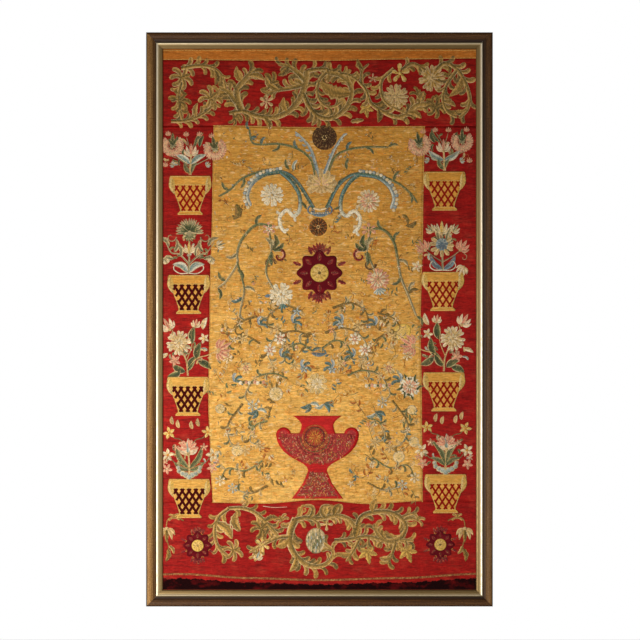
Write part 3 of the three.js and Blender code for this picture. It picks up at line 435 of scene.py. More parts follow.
def silk_material(name, stops, painted_top_shade, slub=1.0, rough=(0.5, 0.72), worked=False, flecked=0.34):
    """Woven silk: the ramp's stops colour its threads, and a painted top shade deepens it towards the top.

    Worked silk is covered in fine meandering tendrils and flecks of thread.
    """
    material, lay, shader, place = new_material(name, Sheen_Weight=0.02, Specular_IOR_Level=0.1)
    weave = lay.group(silk_weave, {"Place": place, "Slub": slub})
    age = lay.group(cloth_age, {"Place": place})
    tone = lay.weighted(weave["Tone"], 0.72, age["Fade"], 0.28)
    colour = lay.ramp(lay.spread(tone, 0.3, 0.7), shades(*stops))
    # Painted shade: the silk darkens towards the top of the hanging
    shaded_to_top = lay.blend(lay.spread(age["Height"], 0.35, 1.0), (1, 1, 1, 1), (*painted_top_shade, 1))
    colour = lay.blend(1.0, colour, shaded_to_top, "MULTIPLY")
    worn = lay.blend(lay.math("MULTIPLY", age["Rubbed"], 0.3), colour, (*linear(*stops[-1][1]), 1))
    if worked:
        for scale, width, tint in TENDRILS:
            bend = lay.math("ABSOLUTE", lay.math("SUBTRACT", lay.noise(place, scale, 1, 0.4), 0.5))
            line = lay.spread(bend, 0.004, width, 0.34, 0.0)
            worn = lay.blend(line, worn, (*thread(tint), 1))
        streak = lay.noise(lay.stretch(place, (7, 1, 60)), 1.0, 4, 0.6)
        worn = lay.blend(lay.spread(streak, 0.52, 0.72, 0, 0.3), worn, (*thread("rust"), 1))
        worn = lay.blend(lay.spread(streak, 0.46, 0.3, 0, 0.3), worn, (*thread("buff"), 1))
        for scale, tint, low, share in WORKED_FLECKS:
            fleck = lay.noise(lay.stretch(place, (0.7, 1, 1.7)), scale, 1, 0.5)
            worn = lay.blend(lay.spread(fleck, low, low + 0.05, 0, share), worn, (*thread(tint), 1))
    flecks = lay.group(thread_flecks, {"Place": place, "Depth": flecked, "Length": 6.0})["Light"]
    worn = lay.blend(1.0, worn, lay.vector(flecks, flecks, flecks), "MULTIPLY")
    puckers = lay.bump(lay.noise(place, 14, 2, 0.4), PUCKER_DEPTH)
    fine = lay.node("ShaderNodeBump", inputs={
        "Height": weave["Height"], "Distance": WEAVE_DEPTH, "Strength": 0.7, "Normal": puckers})
    lay.surface(shader, Base_Color=worn, Normal=fine.outputs[0],
                Roughness=lay.spread(weave["Tone"], 0.3, 0.7, rough[1], rough[0]))
    return material


# The third value of each silk is the colour of its painted shade at the top
gold_silk = silk_material(
    "gold_field_silk",
    [(0, (172, 108, 36)), (0.4, (210, 156, 72)), (0.7, (226, 178, 94)), (1, (242, 206, 130))],
    (0.6, 0.47, 0.22), slub=0.8, worked=True)
red_silk = silk_material(
    "red_border_silk",
    [(0, (108, 8, 6)), (0.45, (144, 16, 13)), (0.8, (160, 30, 22)), (1, (186, 74, 52))],
    (0.8, 0.6, 0.4), slub=1.2, flecked=0.5)
amber_silk = silk_material(
    "amber_heading_silk",
    [(0, (152, 78, 16)), (0.5, (174, 99, 30)), (1, (204, 138, 66))], (1, 1, 1))
basket_silk = silk_material(
    "basket_silk",
    [(0, (176, 112, 36)), (0.5, (204, 150, 66)), (1, (226, 184, 104))], (0.9, 0.8, 0.6))
urn_satin = silk_material(
    "urn_satin", [(0, (146, 14, 14)), (0.6, (178, 26, 26)), (1, (208, 70, 58))],
    (1, 1, 1), slub=1.6, rough=(0.4, 0.58))


def reverse_material(name, stops):
    """Back of the embroidered cloth: dull silk with the loose ends of its threads."""
    material, lay, shader, place = new_material(name, Sheen_Weight=0.05, Roughness=0.85)
    weave = lay.group(silk_weave, {"Place": place, "Slub": 0.7})
    ends = lay.noise(lay.stretch(place, (60, 1, 60)), 1.0, 5, 0.7)
    colour = lay.ramp(lay.spread(weave["Tone"], 0.3, 0.7), shades(*stops))
    colour = lay.blend(lay.spread(ends, 0.58, 0.68, 0, 0.55), colour, (*thread("tan"), 1))
    lay.surface(shader, Base_Color=colour, Normal=lay.bump(ends, 1.0 * MM, 0.6))
    return material


gold_reverse = reverse_material("gold_silk_reverse", [(0, (150, 108, 60)), (1, (190, 150, 96))])
red_reverse = reverse_material("red_silk_reverse", [(0, (112, 34, 36)), (1, (146, 62, 58))])


def velvet_material(name, deep, worn, wear):
    """Worn velvet: a dark pile with bald, lighter patches."""
    material, lay, shader, place = new_material(name, Sheen_Weight=0.08, Specular_IOR_Level=0.05)
    age = lay.group(cloth_age, {"Place": place})
    pile = lay.noise(place, 700, 3, 0.7)
    bald = lay.math("MULTIPLY", age["Rubbed"], wear)
    bald = lay.math("ADD", bald, lay.spread(pile, 0.5, 0.8, 0, 0.35))
    colour = lay.blend(bald, (*linear(*deep), 1), (*linear(*worn), 1))
    lay.surface(shader, Base_Color=colour, Roughness=lay.spread(pile, 0.3, 0.7, 0.75, 0.95),
                Normal=lay.bump(pile, 0.8 * MM, 0.8))
    return material


hem_velvet = velvet_material("hem_velvet", (10, 0, 1), (126, 16, 18), 0.5)
lattice_maroon = velvet_material("lattice_maroon_velvet", (130, 10, 8), (152, 34, 24), 0.3)
lattice_black = velvet_material("lattice_black_velvet", (58, 3, 6), (98, 20, 18), 0.25)
medallion_velvet = velvet_material("medallion_velvet", (86, 10, 20), (136, 30, 36), 0.5)


def thread_material(name, pitch, rough):
    """Laid silk thread: its colour is on the mesh, its ridges follow the stitch lines."""
    material, lay, shader, place = new_material(name, Sheen_Weight=0.04, Specular_IOR_Level=0.2)
    colour = lay.node("ShaderNodeAttribute", {"attribute_name": "thread"}).outputs["Color"]
    stitch = lay.node("ShaderNodeUVMap", {"uv_map": "stitch"}).outputs[0]
    strands = lay.group(laid_strands, {"Stitch": stitch, "Pitch": pitch})
    age = lay.group(cloth_age, {"Place": place})
    # Each thread's own tone, times painted shade in the grooves between laid threads
    light = lay.math("MULTIPLY", lay.spread(strands["Tone"], 0.3, 0.7, 0.6, 1.24),
                     lay.spread(strands["Ridge"], 0, 1, 0.84, 1.06))
    # Painted shade: the threads darken towards the top of the hanging
    light = lay.math("MULTIPLY", light, lay.spread(age["Height"], 0.4, 1.0, 1.0, 0.86))
    flecks = lay.group(thread_flecks, {"Place": place, "Depth": 0.42})
    light = lay.math("MULTIPLY", light, flecks["Light"])
    colour = lay.blend(1.0, colour, lay.vector(light, light, light), "MULTIPLY")
    colour = lay.blend(lay.spread(flecks["Fleck"], 0.25, 0.6, 0, 0.4), colour, (*thread("buff"), 1))
    colour = lay.blend(lay.spread(flecks["Fleck"], -0.25, -0.6, 0, 0.4), colour, (*thread("moss"), 1))
    dusty = lay.blend(lay.math("MULTIPLY", age["Rubbed"], 0.22), colour, (*thread("dun"), 1))
    lay.surface(shader, Base_Color=dusty, Roughness=lay.spread(strands["Ridge"], 0, 1, rough + 0.15, rough),
                Normal=lay.bump(strands["Ridge"], 0.35 * MM, 0.8))
    return material


silk_thread = thread_material("embroidery_silk", 1.5, 0.42)
wool_thread = thread_material("roundel_wool", 2.4, 0.7)


def couching_material(name, stops):
    """Short holding stitches in one thread."""
    material, lay, shader, place = new_material(name, Specular_IOR_Level=0.2)
    tone = lay.noise(place, 160, 3, 0.6)
    lay.surface(shader, Base_Color=lay.ramp(lay.spread(tone, 0.35, 0.65), shades(*stops)),
                Roughness=lay.spread(tone, 0.3, 0.7, 0.4, 0.6))
    return material


gold_couching = couching_material("gold_couching", [(0, (176, 116, 44)), (1, (230, 186, 104))])
braid_silk = couching_material("braid_silk", [(0, (112, 58, 34)), (0.6, (160, 100, 58)), (1, (194, 146, 88))])


def rail_material():
    """Moulded rail: near-black edge, rubbed brown and gold mottling, dark cove, painted shade to the top
    right.
    """
    material, lay, shader, place = new_material("rail_rubbed_wood", Specular_IOR_Level=0.25)
    at = lay.group(moulding_place, {"Place": place})
    speckle = lay.noise(lay.stretch(at["Rail"], (90, 150, 1)), 1.0, 5, 0.7)
    streak = lay.noise(lay.stretch(at["Rail"], (60, 9, 1)), 1.0, 3, 0.6)
    body = lay.weighted(speckle, 0.65, streak, 0.35)
    x, _, z = lay.axes(place)
    up = lay.spread(z, CENTRE_Z - FRAME_HALF_Z, CENTRE_Z + FRAME_HALF_Z)
    warm = lay.ramp(lay.spread(body, 0.34, 0.66), shades(
        (0, (78, 48, 18)), (0.35, (132, 92, 44)), (0.7, (176, 134, 76)), (1, (222, 184, 126))))
    # Painted shade: a darker copy of the wood's colours
    shaded_wood = lay.ramp(lay.spread(body, 0.34, 0.66), shades(
        (0, (40, 22, 6)), (0.5, (76, 46, 16)), (1, (120, 82, 36))))
    # Share of painted shade: it grows to the right and towards the top, and is full on the top and bottom
    # rails
    wood_shade_share = lay.math("MULTIPLY_ADD", x, 0.6, lay.math("MULTIPLY_ADD", up, 0.7, 0.25))
    wood_shade_share = lay.spread(wood_shade_share, 0.3, 0.95)
    wood_shade_share = lay.math("MAXIMUM", wood_shade_share, lay.math("SUBTRACT", 1.0, at["Upright"]))
    # Rubbed wood mixed with its painted shade
    rubbed = lay.blend(wood_shade_share, warm, shaded_wood)
    band = lay.ramp(lay.math("DIVIDE", at["Inset"], 40.0), [
        (0.0, (0.06, 0.05, 0.04)), (0.05, (0.07, 0.06, 0.05)), (0.13, (0.9, 0.9, 0.9)),
        (0.3, (1, 1, 1)), (0.62, (0.8, 0.8, 0.8)), (0.72, (0.34, 0.3, 0.25)),
        (0.86, (0.3, 0.25, 0.2)), (1.0, (0.1, 0.08, 0.06))])
    lay.surface(shader, Base_Color=lay.blend(1.0, rubbed, band, "MULTIPLY"),
                Roughness=lay.spread(speckle, 0.3, 0.7, 0.62, 0.42), Normal=lay.bump(body, 1.2 * MM, 0.6))
    return material


def slip_material():
    """Gilt slip: champagne leaf on a darker ground, painted highlight on its bead, painted shadow at the
    sight edge.
    """
    material, lay, shader, place = new_material("slip_champagne_gilt", Specular_IOR_Level=0.5)
    at = lay.group(moulding_place, {"Place": place})
    grain = lay.noise(lay.stretch(at["Rail"], (50, 60, 1)), 1.0, 4, 0.65)
    # Across the slip: darker ground at its outer edge, a painted highlight on the bead, champagne leaf, then
    # painted shadow at the sight edge
    band = lay.ramp(lay.spread(at["Inset"], 36, 68), shades(
        (0.0, (74, 56, 26)), (0.1, (150, 126, 82)), (0.24, (252, 242, 218)), (0.36, (226, 206, 166)),
        (0.5, (146, 123, 79)), (0.8, (132, 109, 68)), (0.93, (112, 88, 50)), (1.0, (70, 50, 24))))
    # Painted light: the upright slips stay bright, and the top and bottom slips get painted shade
    lit = lay.blend(at["Upright"], (0.66, 0.62, 0.54, 1), (1, 1, 1, 1))
    band = lay.blend(1.0, band, lit, "MULTIPLY")
    rubbed = lay.blend(lay.spread(grain, 0.55, 0.75, 0, 0.5), band, (*linear(112, 84, 46), 1))
    lay.surface(shader, Base_Color=rubbed, Metallic=lay.spread(grain, 0.4, 0.7, 0.75, 0.45),
                Roughness=lay.spread(grain, 0.3, 0.7, 0.34, 0.56), Normal=lay.bump(grain, 0.4 * MM, 0.4))
    return material


def finish_node(node, material):
    """Better finish on a CAD node that keeps its shape."""
    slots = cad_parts[node].material_slots
    if not slots:
        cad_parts[node].data.materials.append(material)
    for slot in slots:
        slot.material = material


rail_wood, slip_gilt = rail_material(), slip_material()
for side in ("top", "right", "bottom", "left"):
    finish_node(f"frame_{side}", rail_wood)
    finish_node(f"slip_{side}", slip_gilt)


# Cloth sheets
def cloth_sheet(name, at, columns, rows, back, face, materials):
    """Closed sheet of cloth: at(u, v) gives x and z arrays, back and face its lift off the ground."""
    u, v = np.meshgrid(np.linspace(0, 1, columns + 1), np.linspace(0, 1, rows + 1), indexing="ij")
    x, z = at(u, v)
    points = np.concatenate([on_cloth(x, z, lift).reshape(-1, 3) for lift in (face, back)])
    order = np.arange((columns + 1) * (rows + 1)).reshape(columns + 1, rows + 1)
    front = np.stack([order[:-1, :-1], order[1:, :-1], order[1:, 1:], order[:-1, 1:]], -1).reshape(-1, 4)
    count = order.size
    behind = front[:, ::-1] + count
    # Edge of the grid, in turn
    ring = np.concatenate([order[:-1, 0], order[-1, :-1], order[:0:-1, -1], order[0, :0:-1]])
    after = np.roll(ring, -1)
    sides = np.stack([after, ring, ring + count, after + count], -1)
    piece = mesh_object(name, points, np.concatenate([front, behind, sides]), materials)
    if len(materials) > 1:
        index = np.concatenate([np.zeros(len(front)), np.ones(len(behind)), np.zeros(len(sides))])
        piece.data.polygons.foreach_set("material_index", index.astype(np.int32))
    piece.data.polygons.foreach_set(
        "use_smooth", np.concatenate([np.ones(len(front) * 2), np.zeros(len(sides))]).astype(bool))
    piece["flat_area"] = flat_area(x.ravel()[ring], z.ravel()[ring])
    piece["flat_width"] = float(x.max() - x.min()) * MM
    piece["flat_length"] = float(z.max() - z.min()) * MM
    return piece


def flat_area(x, z):
    """Area inside an outline, in square metres."""
    return float(abs(np.sum(x * np.roll(z, -1) - z * np.roll(x, -1))) / 2 * MM * MM)


def upright_panel(left, right):
    """Panel between the field's top and foot seams, and two side lines."""
    low, high = LEFT_SEAM[0][0], LEFT_SEAM[-1][0]

    def at(u, v):
        z_line = between(low, high, v)
        x = between(left(z_line), right(z_line), u)
        foot, top = on_line(FIELD_FOOT, x) + HALF_GAP, on_line(FIELD_TOP, x) - HALF_GAP
        return x, between(foot, top, v)
    return at


def level_panel(low, high, half_width):
    """Panel across the cloth between two lines that run from side to side."""
    def at(u, v):
        x = between(-half_width, half_width, u)
        return x, between(low(x), high(x), v)
    return at


def beside(table, offset):
    """Line that keeps an offset from a seam."""
    return lambda places: on_line(table, places) + offset


def level(value):
    """Straight line at one value."""
    return lambda places: np.full_like(places, value)


HEM_DROP, HEM_SCALLOP, HEM_SCALLOPS = 15.5, 4, 9
# Frayed edge of the hem: height, waves, start
HEM_FRAY = ((1.6, 0.21, 0.0), (1.2, 0.53, 1.0), (0.8, 1.1, 2.0))
HEM_HALF = SIGHT_X - 1


def hem_top(x):
    """Ragged, scalloped top of the worn velvet."""
    scallop = np.abs(np.sin(np.pi * HEM_SCALLOPS * x / SIGHT_X))
    fray = sum(height * np.sin(x * waves + start) for height, waves, start in HEM_FRAY)
    return on_line(HEM_LINE, x) - HEM_DROP - HEM_SCALLOP * scallop + fray


GROUND, ON_GROUND = (-CLOTH_THICKNESS, 0), (0.45, 2.2)
RED, GOLD, AMBER = (red_silk, red_reverse), (gold_silk, gold_reverse), (amber_silk, gold_reverse)
field_outline = upright_panel(beside(LEFT_SEAM, HALF_GAP), beside(RIGHT_SEAM, -HALF_GAP))
left_outline = upright_panel(level(-CLOTH_X), beside(LEFT_SEAM, -HALF_GAP))
right_outline = upright_panel(beside(RIGHT_SEAM, HALF_GAP), level(CLOTH_X))
top_outline = level_panel(beside(FIELD_TOP, HALF_GAP), beside(HEADING_FOOT, -HALF_GAP), CLOTH_X)
bottom_outline = level_panel(level(-CLOTH_Z), beside(FIELD_FOOT, -HALF_GAP), CLOTH_X)
heading_outline = level_panel(beside(HEADING_FOOT, HALF_GAP), level(CLOTH_Z), CLOTH_X)
hem_outline = level_panel(level(-SIGHT_Z + 1), hem_top, HEM_HALF)
# Cloth pieces: node, outline, columns, rows, back and face, materials
GROUND_PIECES = [
    ("field_panel", field_outline, 84, 150, GROUND, GOLD),
    ("border_left", left_outline, 20, 150, GROUND, RED),
    ("border_right", right_outline, 20, 150, GROUND, RED),
    ("border_top", top_outline, 128, 28, GROUND, RED),
    ("border_bottom", bottom_outline, 128, 36, GROUND, RED),
    ("heading_band", heading_outline, 128, 6, GROUND, AMBER),
    ("hem_band", hem_outline, 400, 5, ON_GROUND, (hem_velvet,)),
]
cloths = {}
for node, outline, columns, rows, (back, face), materials in GROUND_PIECES:
    cloths[node] = cloth_sheet(f"{node}_cloth", outline, columns, rows, back, face, materials)

# Needlework: places across a strip and its padding there, then the same for fine work and for knots
ACROSS = np.array([-1, -0.86, -0.64, -0.3, 0, 0.3, 0.64, 0.86, 1])
PADDED = np.array([-0.25, 0.8, 0.6, 0.92, 1.0, 0.92, 0.6, 0.8, -0.25])
FINE_ACROSS = np.array([-1, -0.5, 0, 0.5, 1])
FINE_PADDED = np.array([-0.25, 0.75, 1.0, 0.75, -0.25])
KNOT_RINGS = np.array([0, 0.55, 0.85, 1])
KNOT_PADDED = np.array([1.15, 1.0, 0.8, -0.2])
# Edge shade darkens the outline at the very edge of a strip or knot: partly a dark outline, partly painted
# shadow where raised work meets the cloth
EDGE_SHADE, TONE_SPREAD = 0.3, 0.09
# Painted light on a knot comes from its upper left, in radians from +x
LIGHT_FROM = 2.3
STEM_STEP, THREAD_STEP = 8, 4
# Stems narrower and leaves shorter than these are worked fine; leaves longer than the last have a vein
FINE_STEM, FINE_LEAF, VEINED_LEAF = 3.4, 16, 30
LOBE_TURN = 2.0
ON_APPLIQUE = 1.4


def mixed(a, b, share):
    """Colours from a to b, by an array of shares."""
    return between(a, b, np.asarray(share)[..., None])


def either_hand():
    """1 or -1, by chance."""
    return 1 if rng.random() < 0.5 else -1


def chosen(looks):
    """One of some looks, by chance."""
    return looks[rng.integers(len(looks))]


class Needlework:
    """Raised stitching that becomes one piece: patches of thread with colours and stitch lines."""

    def __init__(self, plump=1.0, base=0.0):
        """Plump scales its leaves and petals; base is the lift of the cloth that it is worked on."""
        self.points, self.quads, self.colours, self.stitches = [], [], [], []
        self.count = 0
        self.plump, self.base = plump, base

    def patch(self, x, z, lift, colour, stitch, wrap=False):
        """Grid of stitches with a tone of its own; wrap closes it across."""
        rows, columns = x.shape
        order = self.count + np.arange(rows * columns).reshape(rows, columns)
        if wrap:
            order = np.concatenate([order, order[:, :1]], 1)
        self.points.append(on_cloth(x, z, lift + self.base).reshape(-1, 3))
        corners = [order[:-1, :-1], order[1:, :-1], order[1:, 1:], order[:-1, 1:]]
        self.quads.append(np.stack(corners, -1).reshape(-1, 4))
        tone = 1 + TONE_SPREAD * np.clip(rng.standard_normal(), -2, 2)
        self.colours.append((np.broadcast_to(colour, x.shape + (3,)) * tone).reshape(-1, 3))
        self.stitches.append(np.stack(np.broadcast_arrays(*stitch), -1).reshape(-1, 2))
        self.count += rows * columns

    def strip(self, line, heading, run, half, look, rise, fine=False, vein=False, look_end=None):
        """Padded strip along a line: satin stitches lie across it, with a corded outline."""
        v, padding = (FINE_ACROSS, FINE_PADDED) if fine else (ACROSS, PADDED)
        side = np.stack([-heading[:, 1], heading[:, 0]], -1)
        reach = half[:, None] * v
        x = line[:, :1] + side[:, :1] * reach
        z = line[:, 1:] + side[:, 1:] * reach
        u = (run / max(run[-1], 1e-6))[:, None]
        colour = self.shade(look, u, v, vein)
        if look_end is not None:
            turn = np.clip((u - 0.35) / 0.3, 0, 1)
            colour = mixed(colour, self.shade(look_end, u, v, vein), np.broadcast_to(turn, x.shape))
        self.patch(x, z, rise * padding[None, :] + 0 * x, colour, (reach, run[:, None] + 0 * reach))

    @staticmethod
    def shade(look, u, v, vein):
        """Thread colours over a strip: light to shaded side, an outline, and a dark vein if asked."""
        light, middle, dark, outline = look
        side = np.clip(v / 0.8, -1, 1)
        tone = np.where((side < 0)[:, None], mixed(middle, light, np.clip(-side, 0, 1)),
                        mixed(middle, dark, np.clip(side, 0, 1)))
        if vein:
            tone = np.where((np.abs(v) < 0.1)[:, None], dark, tone)
        tone = np.where((np.abs(v) > 0.8)[:, None], outline, tone)
        grid = (len(u), len(v))
        lit = mixed(np.broadcast_to(tone, grid + (3,)), light, 0.3 * np.broadcast_to(u, grid))
        # Very edge: the outline darkened, a dark outline and painted shadow at the cloth
        return np.where((np.abs(v) > 0.95)[:, None], outline * EDGE_SHADE, lit)

    def stem(self, points, root, tip, look, rise=1.7, look_end=None):
        """Stem through points, from its half-width at the root to that at the tip."""
        line, heading, run = smooth_line(points, STEM_STEP)
        half = between(root, tip, run / run[-1])
        half[-1] *= 0.4
        fine = max(root, tip) < FINE_STEM
        self.strip(line, heading, run, half, LOOKS[look], rise, fine, False, LOOKS.get(look_end))

    def leaf(self, x, z, angle, length, width, look, bow=0.12, lobes=0, rise=1.6, round_tip=False):
        """Leaf or petal from its root; angle in degrees from +x; lobes scallop its edge."""
        turn = math.radians(angle)
        length, width = length * self.plump, width * self.plump
        along = np.array([math.cos(turn), math.sin(turn)])
        aside = np.array([-along[1], along[0]])
        root = np.array([x, z])
        points = [root, root + along * length / 2 + aside * length * bow, root + along * length]
        steps = 12 if lobes else (7 if length > 26 else 5)
        line, heading, run = smooth_line(points, length / steps)
        u = run / run[-1]
        if round_tip:
            half = np.sqrt(np.clip(u, 0, 1)) * np.sqrt(np.clip(1 - u**5, 0, 1))
        else:
            half = np.sin(np.pi * u**0.85) ** 0.8
        if lobes:
            half *= 1 - 0.42 * (0.5 + 0.5 * np.cos(2 * np.pi * lobes * u)) * (1 - 0.4 * u)
        self.strip(line, heading, run, 0.5 + width / 2 * half, LOOKS[look], rise, length < FINE_LEAF,
                   length > VEINED_LEAF)

    def fine_thread(self, points, half, look, rise=0.9):
        """Thread laid through points, a little thinner at its end."""
        line, heading, run = smooth_line(points, THREAD_STEP)
        self.strip(line, heading, run, half * np.linspace(1, 0.6, len(run)), LOOKS[look], rise, True)

    def knot(self, x, z, radius, look, rise=1.8, tall=1.0, spokes=10, angle=0.0):
        """Round padded knot or disc, with painted light on its upper left."""
        turns = np.linspace(0, 2 * np.pi, spokes, endpoint=False)
        radius = radius * self.plump
        light, middle, dark, outline = LOOKS[look]
        a = radius * KNOT_RINGS[:, None] * np.cos(turns)
        b = radius * tall * KNOT_RINGS[:, None] * np.sin(turns)
        tilt = math.radians(angle)
        px = x + a * math.cos(tilt) - b * math.sin(tilt)
        pz = z + a * math.sin(tilt) + b * math.cos(tilt)
        # Painted light and shade: lighter where the knot faces its upper left
        facing = 0.5 + 0.5 * np.cos(turns - LIGHT_FROM) * KNOT_RINGS[:, None]
        colour = mixed(dark, light, facing)
        colour = mixed(colour, np.broadcast_to(middle, colour.shape), np.full(facing.shape, 0.4))
        # Outer rings: the outline, then its darkened copy, a dark outline and painted shadow at the cloth
        colour[-2], colour[-1] = outline, outline * EDGE_SHADE
        self.patch(px, pz, rise * KNOT_PADDED[:, None] + 0 * px, colour, (a, b), wrap=True)

    def fan(self, x, z, count, inner, length, width, look, centre=90, sweep=360, rise=1.7, round_tip=True,
            jitter=6):
        """Petals round a point; a full sweep closes into a ring."""
        gap = sweep / count if sweep >= 360 else sweep / max(1, count - 1)
        start = centre if sweep >= 360 else centre - sweep / 2
        for k in range(count):
            angle = start + gap * k + vary(-jitter, jitter)
            self.leaf(*polar(x, z, inner * self.plump, angle), angle, length, width, look,
                      bow=vary(-0.06, 0.06), rise=rise + 0.25 * (k % 2), round_tip=round_tip)

    def curl(self, x, z, size, angle, turns, half, look, hand=1):
        """Tendril that winds in to its tip."""
        t = np.linspace(0, 1, 14)
        radius = size * (1 - 0.78 * t)
        swing = math.radians(angle) + hand * 2 * np.pi * turns * t
        points = np.stack([x + radius * np.cos(swing), z + radius * np.sin(swing)], -1)
        if half >= 3:
            self.stem(points, half, half * 0.5, look, 1.5)
        else:
            self.fine_thread(points, half, look)

    def lobe(self, x, z, angle, length, width, look, hand, rise=1.6):
        """Curling leaf: it springs from its root, turns back on itself and ends broad and round."""
        t = np.linspace(0, 1, 8)
        swing = math.radians(angle) + hand * LOBE_TURN * t**1.4
        step = length * self.plump / 7 * np.stack([np.cos(swing), np.sin(swing)], -1)
        points = np.array([x, z]) + np.concatenate([[(0, 0)], np.cumsum(step[:-1], 0)])
        line, heading, run = smooth_line(points, length * self.plump / 10)
        u = run / run[-1]
        half = width * self.plump / 2 * (0.45 + 0.55 * u) * np.sqrt(np.clip(1 - u**5, 0, 1))
        self.strip(line, heading, run, 0.5 + half, LOOKS[look], rise, False, length > VEINED_LEAF)

    def acanthus(self, points, root, tip, looks, gap=31):
        """Leafy scroll: curling leaves spring from both edges of a broad stem."""
        line, heading, run = smooth_line(points, THREAD_STEP)
        for k, place in enumerate(np.arange(gap * 0.6, run[-1] - gap * 0.5, gap)):
            at = int(np.searchsorted(run, place))
            half = between(root, tip, place / run[-1])
            for hand in (1, -1):
                if rng.random() < 0.12:
                    continue
                angle = bearing(heading[at]) + hand * vary(8, 30)
                size = 0.88 * (half * vary(1.4, 2.0) + vary(24, 36))
                side = np.array([-heading[at][1], heading[at][0]]) * hand * half * 0.5
                self.lobe(*(line[at] + side), angle, size, size * vary(0.45, 0.57),
                          chosen(looks), hand, 1.2 + 0.2 * (k % 3))
        self.stem(points, root, tip, "vine", 2.0)

    # Flowers
    def carnation(self, x, z, radius, facing):
        """Ruffled horseshoe of petals that faces one way, its green calyx in the opening."""
        for count, inner, length, petals, sweep, rise in (
                (23, 0.58, 0.46, "pink", 266, 1.5), (21, 0.46, 0.38, "pink_pale", 258, 2.0),
                (17, 0.34, 0.28, "rose", 250, 2.4)):
            self.fan(x, z, count, radius * inner, radius * length, radius * 0.26, petals, facing, sweep, rise,
                     jitter=3)
        for lean, length in ((180, 1.15), (150, 0.7), (210, 0.7)):
            self.leaf(x, z, facing + lean, radius * length, radius * 0.34, "dark_leaf", 0, rise=2.4)
        self.fan(x, z, 5, 0, radius * 0.36, radius * 0.2, "sage", facing, 200, 2.8, False)

    def tulip(self, x, z, size, angle, look="tulip", heart="pink"):
        """Open cup of two pairs of petals, with a middle petal and a round foot."""
        for lean, length, width, bow in ((52, 0.95, 0.3, 0.2), (26, 1.1, 0.34, 0.12)):
            for hand in (-1, 1):
                self.leaf(x, z, angle + hand * lean, size * length, size * width, look, hand * bow, rise=1.7)
        self.leaf(x, z, angle, size * 1.25, size * 0.36, heart, 0, rise=2.4)
        self.knot(x, z, size * 0.18, "straw", 2.6)

    def peony(self, x, z, radius, look, inner):
        """Full round flower of three rings of petals."""
        self.fan(x, z, 16, radius * 0.35, radius * 0.66, radius * 0.34, look, rise=1.5)
        self.fan(x, z, 12, radius * 0.2, radius * 0.5, radius * 0.3, inner, rise=2.2)
        self.fan(x, z, 8, radius * 0.05, radius * 0.36, radius * 0.24, look, rise=2.8)
        self.knot(x, z, radius * 0.16, "straw", 3.4)

    def thistle(self, x, z, radius, angle):
        """Fringed head over a scaly cup."""
        self.fan(x, z, 19, radius * 0.2, radius * 0.86, radius * 0.2, "sage", angle, 200, 1.7, False)
        self.fan(x, z, 13, radius * 0.1, radius * 0.62, radius * 0.18, "dark_leaf", angle, 170, 2.3, False)
        cup = polar(x, z, -radius * 0.3, angle)
        self.knot(*cup, radius * 0.5, "sage", 2.4, 0.8)
        for k in range(3):
            self.fan(*cup, 7 - k, radius * 0.1, radius * (0.44 - 0.1 * k), radius * 0.16, "leaf",
                     angle + 180, 190, 2.6 + 0.3 * k)

    def star(self, x, z, radius, look, heart):
        """Small flower of five pointed petals."""
        self.fan(x, z, 5, radius * 0.12, radius * 0.9, radius * 0.52, look, vary(0, 72), rise=1.7,
                 round_tip=False)
        self.knot(x, z, radius * 0.24, heart, 2.5, spokes=8)

    def rosette(self, x, z, radius, look, heart, petals):
        """Flat flower of two rings of round petals."""
        self.fan(x, z, petals, radius * 0.24, radius * 0.76, radius * 0.56, look, rise=1.7)
        self.fan(x, z, petals, radius * 0.08, radius * 0.46, radius * 0.34, heart, 100, rise=2.4)
        self.knot(x, z, radius * 0.18, look, 3.0)

    def foliage(self, x, z, radius, look, count, start=20):
        """Leafy head: curling leaves in pairs to either side of a blunt middle leaf."""
        for k in range(count):
            hand = 1 if k % 2 else -1
            lean = start + hand * (22 + 52 * (k // 2)) + vary(-8, 8)
            length, rise = radius * (1.25 - 0.1 * (k // 2)), 1.5 + 0.25 * (k // 2)
            self.lobe(x, z, lean, length, radius * 0.52, look, hand, rise)
        self.leaf(x, z, start, radius * 0.8, radius * 0.4, "acanthus_dark", 0, rise=2.6, round_tip=True)

    def vine_leaf(self, x, z, size, angle):
        """Five-lobed leaf of a vine."""
        for lean, length in ((-118, 0.62), (118, 0.62), (-62, 0.86), (62, 0.86), (0, 1.05)):
            self.leaf(x, z, angle + lean, size * length, size * 0.5, "grape", 0, 3, 1.6)
        for lean, length in ((-62, 0.6), (62, 0.6), (0, 0.75)):
            self.fine_thread([(x, z), polar(x, z, size * length, angle + lean)], 1.2, "olive", 2.4)

    def cone(self, x, z, radius, tall):
        """Cone of overlapping scales."""
        self.knot(x, z, radius, "sage", 1.5, tall, 18)
        for row in range(7):
            height = (row / 6 * 2 - 1) * 0.86
            width = radius * math.sqrt(max(0.05, 1 - height * height))
            count = max(2, int(width / 5.5))
            for k in range(count):
                px = x + width * ((k + 0.5) / count * 2 - 1)
                pz = z - height * radius * tall
                look = ("sage", "cream", "leaf", "teal_pale")[(row + k) % 4]
                self.leaf(px, pz + 6, -90, 13, 10, look, 0, rise=2.2 + 0.12 * row, round_tip=True)

